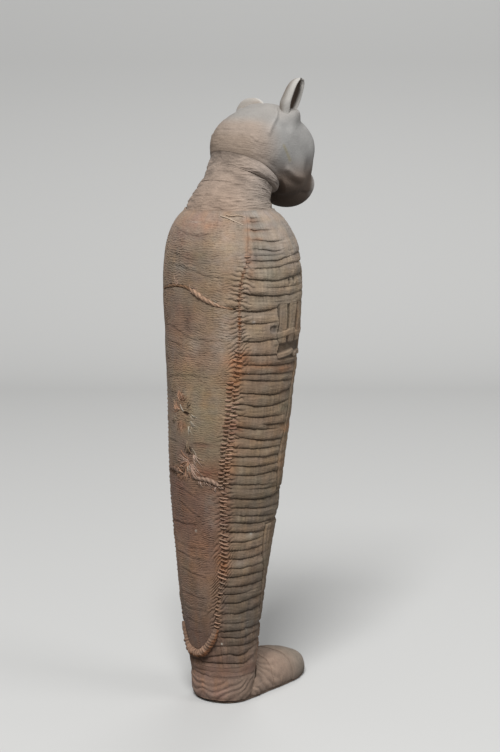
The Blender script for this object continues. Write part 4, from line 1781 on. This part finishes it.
def ear_ring(ear, up):
    """One closed ring round the wall of an ear: its outside, a lip, its inside and the other lip. Gives the
    points, how far each is inside the hollow, and how pale it is."""
    _, _, length, half_width, cup, _, _, _, blunt, wall, root_width = ear
    high = min(max(up, 0.0), 1.0)
    rooted = root_width + (1.0 - root_width) * float(eased((up + 0.05) / 0.45))
    wide = half_width * rooted * math.sqrt(max(1.0 - high**blunt, 0.0)) + EAR_LEAST
    deep = cup * rooted * (1.0 - 0.34 * high**1.5) * math.sqrt(max(1.0 - high**14, 0.0)) + EAR_LEAST
    side_wall = min(wall * (1.0 - 0.25 * high), 0.6 * wide)
    back_wall = min(0.8 * wall * (1.0 - 0.35 * high), 0.45 * deep)

    outside = np.linspace(0.0, math.pi, EAR_OUTSIDE)
    inside = np.linspace(math.pi, 0.0, EAR_INSIDE)
    lip = np.linspace(0.0, math.pi, EAR_LIP + 2)[1:-1]
    far_lip = -wide + side_wall * (1.0 - np.cos(lip)) / 2
    near_lip = wide - side_wall * (1.0 + np.cos(lip)) / 2
    lip_bulge = -0.8 * side_wall * np.sin(lip)
    x = np.concatenate([wide * np.cos(outside), far_lip, (wide - side_wall) * np.cos(inside), near_lip])
    y = np.concatenate([deep * np.sin(outside), lip_bulge, (deep - back_wall) * np.sin(inside), lip_bulge])

    beside_lip = bell(np.minimum(outside, math.pi - outside) / 0.35)
    pale = np.concatenate([beside_lip, np.ones(EAR_LIP), np.zeros(EAR_INSIDE), np.ones(EAR_LIP)])
    entering = np.linspace(0.0, 0.3, EAR_LIP)
    sunk = 0.3 + 0.7 * np.sin(inside) ** 0.5
    hollow = np.concatenate([np.zeros(EAR_OUTSIDE), entering, sunk, entering[::-1]])
    return ear_place(ear, x, y, up * length), hollow * eased((1.0 - high) / 0.10), pale


def ear_tint(turn, up, hollow, pale, shade):
    worn = np.clip(0.45 + 0.45 * noise(803, turn * 8.0, up * 8.0), 0.0, 1.0)
    colour = blended((0.330, 0.310, 0.285), (0.250, 0.212, 0.178), worn)
    colour = blended(colour, (0.46, 0.44, 0.41), pale) * shade
    return blended(colour, (0.150, 0.115, 0.090), eased((hollow - 0.35) / 0.35))


def make_ears():
    for name, ear in EARS.items():
        rings, hollows, pales = zip(*[ear_ring(ear, float(level)) for level in EAR_LEVELS])
        points, hollow, pale = np.array(rings), np.array(hollows), np.array(pales)
        turn = np.arange(points.shape[1])[None, :] / points.shape[1]
        up = EAR_LEVELS[:, None]
        lumps = 0.16 * noise(801, turn * 9.0, up * 5.0) + 0.05 * rough_noise(802, turn * 40.0, up * 22.0)
        lift = lumps * (1.0 - hollow) * eased(turn * (1.0 - turn) * 40.0) * MM
        points = points + unit(points - points.mean(1, keepdims=True)) * lift[..., None]
        colour = ear_tint(turn, up, hollow, pale, 1.0 if name == "right" else 1.25)
        place = stacked(turn * 0.03, up * 0.03, 0.0)
        piece = capped(f"{name}_ear_shell", points, colour, place)
        dress(piece, "head_plaster", f"{name}_ear")


# Colours of the frayed threads
FRAY_ORANGE, FRAY_PINK = (0.42, 0.235, 0.145), (0.45, 0.295, 0.220)
FRAY_PALE, FRAY_BROWN = (0.45, 0.375, 0.29), (0.25, 0.165, 0.105)
# Tufts: angle, height, spread in millimetres, strands, length, direction and fan in degrees, colour.
# 0 degrees is towards the right side and 90 is up.
TUFTS = (
    (-9.0, 221.5, 2.0, 26, 3.4, 100.0, 70.0, FRAY_ORANGE),
    (-12.5, 214.5, 1.8, 22, 3.8, 165.0, 60.0, FRAY_ORANGE),
    (-9.0, 207.5, 2.8, 40, 4.2, -110.0, 55.0, FRAY_ORANGE),
    (-1.5, 217.0, 1.6, 14, 3.0, 35.0, 60.0, FRAY_BROWN),
    (1.5, 213.0, 1.2, 7, 3.4, -30.0, 30.0, FRAY_PALE),
    (1.5, 208.5, 1.4, 8, 3.6, -55.0, 30.0, FRAY_PALE),
    (0.0, 204.5, 1.8, 10, 3.6, -75.0, 40.0, FRAY_PALE),
    (-20.0, 209.0, 3.0, 12, 3.0, -100.0, 90.0, FRAY_BROWN),
    (-2.0, 193.5, 1.4, 18, 4.4, -85.0, 35.0, FRAY_BROWN),
    (-0.5, 179.5, 1.2, 18, 5.4, 175.0, 50.0, FRAY_PINK),
    (-0.5, 179.5, 1.2, 18, 6.0, -120.0, 45.0, FRAY_ORANGE),
    (2.0, 179.0, 1.2, 18, 6.5, -65.0, 35.0, FRAY_PINK),
    (5.0, 185.0, 1.4, 10, 5.0, -50.0, 55.0, FRAY_PINK),
    (0.0, 177.0, 1.2, 10, 3.4, -90.0, 35.0, FRAY_PALE),
    (-16.0, 173.0, 2.6, 30, 3.4, -45.0, 80.0, FRAY_ORANGE),
    (-3.0, 171.0, 2.4, 28, 3.4, -90.0, 70.0, FRAY_ORANGE),
    (12.0, 166.6, 1.6, 7, 2.6, -75.0, 40.0, FRAY_PINK),
    (18.0, 166.4, 1.6, 7, 2.4, -80.0, 40.0, FRAY_PINK),
    (24.0, 165.6, 1.6, 7, 2.6, -70.0, 40.0, FRAY_PINK),
    (30.0, 164.2, 1.4, 6, 2.4, -75.0, 40.0, FRAY_PINK),
    (-12.0, 302.5, 3.0, 10, 2.2, 80.0, 60.0, FRAY_PINK),
    (10.0, 299.0, 3.5, 14, 3.0, 160.0, 50.0, FRAY_PINK),
    (27.0, 291.2, 2.5, 8, 2.6, 150.0, 50.0, FRAY_PALE),
)
# Single threads: radius in millimetres, colour, then angle and height of each point
LOOSE_THREADS = (
    (0.42, (0.50, 0.44, 0.36), ((-10.5, 218.6), (-8.5, 216.4), (-6.0, 214.2))),
    (0.50, FRAY_PINK, ((3.0, 175.0), (5.0, 171.5), (8.0, 168.9), (15.0, 168.6), (22.0, 168.2), (30.0, 165.6),
                       (37.0, 163.0))),
    (0.34, FRAY_PINK, ((-2.0, 181.0), (3.0, 176.5), (7.0, 172.0), (10.0, 169.6))),
    (0.30, FRAY_ORANGE, ((0.0, 181.0), (-6.0, 183.0), (-11.0, 186.0))),
    (0.30, FRAY_ORANGE, ((0.0, 179.0), (-7.0, 177.6), (-14.0, 174.0))),
    (0.28, FRAY_PALE, ((4.5, 189.0), (8.5, 185.5), (9.6, 181.0), (7.0, 177.0), (8.6, 172.5))),
    (0.42, (0.60, 0.48, 0.37), ((30.0, 350.2), (38.0, 348.9), (46.0, 346.6), (54.0, 344.2))),
    (0.30, (0.58, 0.44, 0.32), ((36.0, 351.0), (42.0, 350.2), (50.0, 350.6), (58.0, 349.4))),
)
# A strand's radius in millimetres, and its length and the strands of a tuft as shares of the table's
STRAND_RADIUS, STRAND_LENGTHS, STRANDS_LEFT = 0.27, 1.5, 0.85
FIRST_STRAND_SEED = 901


def surface_path(angles, heights, lift):
    """A path over the back cloths through angles and heights, raised by lift millimetres."""
    return body_point(np.asarray(angles), np.asarray(heights), lift - CLOTH_SKIN / MM)


def add_strand(threads, angle, height, length, direction, seed, tint):
    """One loose strand that starts at a place on the back and arches a little over the cloth."""
    chance = [float(noise(seed, np.array(k * 1.37 + 0.5))) for k in range(5)]
    along = np.linspace(0.0, 1.0, 7)
    bend = math.radians(direction) + 0.9 * chance[0] * along
    reach = STRAND_LENGTHS * length * (1.0 + 0.4 * chance[1]) / 6.0
    across = np.cumsum(np.cos(bend)) * reach
    up = np.cumsum(np.sin(bend)) * reach
    lift = 0.15 + (0.55 + 0.35 * chance[2]) * np.sin(math.pi * along)
    angles = angle + degrees_of(across, np.full(7, height))
    radius = STRAND_RADIUS * (1.0 + 0.35 * chance[3]) * (1.0 - 0.5 * along)
    shade = (1.0 + 0.45 * chance[4]) * (np.array(tint) + max(chance[2], 0.0) * np.array([0.02, 0.06, 0.06]))
    threads.add(surface_path(angles, height + up, lift), radius * MM, shade, sides=5)


def tuft_strands():
    """The tuft that each strand belongs to, for all the strands in turn."""
    return [tuft for tuft in TUFTS for _ in range(int(tuft[3] * STRANDS_LEFT))]


def make_frays():
    threads = Threads()
    for seed, tuft in enumerate(tuft_strands(), FIRST_STRAND_SEED):
        angle, height, spread, _, length, direction, fan, tint = tuft
        aside, above, turned = [float(noise(seed, np.array(k + 0.5))) for k in range(20, 23)]
        angle = angle + float(degrees_of(spread * aside, np.array(height)))
        direction = direction + fan * turned
        add_strand(threads, angle, height + spread * above, length, direction, seed, tint)
    for radius, tint, points in LOOSE_THREADS:
        angles, heights = np.array(points, float).T
        numbers = np.arange(len(points))
        at = np.linspace(0, len(points) - 1, len(points) * 6)
        lift = radius * (0.6 + 0.5 * np.sin(at * 1.7)) + 0.15
        path = surface_path(curve_at(at, numbers, angles), curve_at(at, numbers, heights), lift)
        threads.add(path, radius * MM * (0.75 + 0.25 * np.sin(math.pi * at / at[-1])), tint, sides=7)
    dress(threads.build("frayed_threads"), "seam_thread")


def dress_hidden():
    """The pieces inside keep their solids, with a material of their own."""
    inside = {
        "padding_linen": ("under_wrap", "body_padding", "head_stuffing"),
        "dried_cat": tuple(name for name in NODES if name.startswith("cat_")),
        "bone": ("cat_skull", "cat_jaw"),
    }
    for slot, names in inside.items():
        for name in names:
            NODES[name].data.materials.clear()
            NODES[name].data.materials.append(HIDDEN_LOOKS[slot])


make_bands()
make_back()
make_hems()
make_stitches()
make_front()
make_shoulders()
make_ankle()
make_foot()
make_foot_strips()
make_sole()
make_neck()
make_head()
make_ears()
make_frays()
dress_hidden()


# Camera: its turn round the mummy and how far it looks down, then its place in metres
CAMERA_TURN, CAMERA_DOWN = math.radians(42.0), math.radians(9.35)
CAMERA_ASIDE, CAMERA_BACK, CAMERA_UP = 0.0165, 1.155, 0.425
# Focal length and height of the photo in pixels, and the sensor in millimetres
FOCAL_PIXELS, IMAGE_HEIGHT, SENSOR = 1650.0, 752.0, 36.0
# Directions from the camera: to its right, away from it and up
ASIDE = np.array([-math.cos(CAMERA_TURN), -math.sin(CAMERA_TURN), 0.0])
AWAY = np.array([math.sin(CAMERA_TURN), -math.cos(CAMERA_TURN), 0.0])
UP = np.array([0.0, 0.0, 1.0])


def add_camera():
    data = bpy.data.cameras.new("camera")
    data.sensor_fit = "VERTICAL"
    data.sensor_height = SENSOR
    data.sensor_width = SENSOR
    data.lens = FOCAL_PIXELS / IMAGE_HEIGHT * SENSOR
    camera = bpy.data.objects.new("camera", data)
    camera.location = ASIDE * CAMERA_ASIDE - AWAY * CAMERA_BACK + UP * CAMERA_UP
    ahead = AWAY * math.cos(CAMERA_DOWN) - UP * math.sin(CAMERA_DOWN)
    camera.rotation_mode = "QUATERNION"
    camera.rotation_quaternion = Vector(ahead).to_track_quat("-Z", "Y")
    bpy.context.scene.collection.objects.link(camera)
    bpy.context.scene.camera = camera


# Lamps: name, place to the camera's right, towards it and up, size and power
LAMPS = (
    ("key", -0.35, 2.1, 3.1, 1.2, 128.0),
    ("side", 2.4, 1.0, 1.4, 1.2, 19.0),
    ("back", 0.3, -1.3, 1.8, 0.9, 8.0),
)
# Where the lamps aim, and the strength of the even light from all round
LAMP_AIM, WORLD_STRENGTH = (0.0, 0.0, 0.25), 0.25


def add_lamp(name, aside, back, up, size, power):
    """A square soft lamp."""
    data = bpy.data.lights.new(name, "AREA")
    data.size = size
    data.energy = power
    lamp = bpy.data.objects.new(name, data)
    place = Vector(ASIDE * aside - AWAY * back + UP * up)
    lamp.location = place
    lamp.rotation_mode = "QUATERNION"
    lamp.rotation_quaternion = (Vector(LAMP_AIM) - place).to_track_quat("-Z", "Y")
    bpy.context.scene.collection.objects.link(lamp)


# The floor's colour as the camera sees it, and as the light does that it throws back
FLOOR_SEEN, FLOOR_FOR_LIGHT = (0.58, 0.58, 0.57), (0.16, 0.16, 0.16)
# Its half width, how far it runs to the front and away, then the radius, steps and height of its sweep up
FLOOR_WIDTH, FLOOR_NEAR, FLOOR_FAR = 3.0, -2.2, 1.3
SWEEP_RADIUS, SWEEP_STEPS, SWEEP_HEIGHT = 0.5, 16, 2.6


def floor_material():
    material, tree, shader = new_material("floor", 0.9)
    mix = node(tree, "ShaderNodeMix", data_type="RGBA")
    mix.inputs["A"].default_value = (*FLOOR_FOR_LIGHT, 1.0)
    mix.inputs["B"].default_value = (*FLOOR_SEEN, 1.0)
    path = node(tree, "ShaderNodeLightPath")
    tree.links.new(path.outputs["Is Camera Ray"], mix.inputs["Factor"])
    tree.links.new(mix.outputs["Result"], shader.inputs["Base Color"])
    return material


def add_stage():
    """A pale floor that sweeps up behind the mummy."""
    profile = [(FLOOR_NEAR, 0.0)]
    for number in range(SWEEP_STEPS + 1):
        turn = math.pi / 2 * number / SWEEP_STEPS
        along = FLOOR_FAR + SWEEP_RADIUS * math.sin(turn)
        profile.append((along, SWEEP_RADIUS * (1.0 - math.cos(turn))))
    profile.append((FLOOR_FAR + SWEEP_RADIUS, SWEEP_HEIGHT))
    points = []
    for along, up in profile:
        for side in (-FLOOR_WIDTH, FLOOR_WIDTH):
            points.append(tuple(ASIDE * side + AWAY * along + UP * up))
    faces = [(2 * row, 2 * row + 1, 2 * row + 3, 2 * row + 2) for row in range(len(profile) - 1)]
    mesh = bpy.data.meshes.new("floor")
    mesh.from_pydata(points, [], faces)
    mesh.polygons.foreach_set("use_smooth", np.ones(len(mesh.polygons), bool))
    mesh.materials.append(floor_material())
    floor = bpy.data.objects.new("floor", mesh)
    bpy.context.scene.collection.objects.link(floor)


def add_light():
    world = bpy.data.worlds.new("world")
    world.use_nodes = True
    background = world.node_tree.nodes["Background"]
    background.inputs["Color"].default_value = (1.0, 1.0, 1.0, 1.0)
    background.inputs["Strength"].default_value = WORLD_STRENGTH
    bpy.context.scene.world = world
    for lamp in LAMPS:
        add_lamp(*lamp)


add_camera()
add_stage()
add_light()
bpy.context.scene.view_settings.view_transform = "Standard"
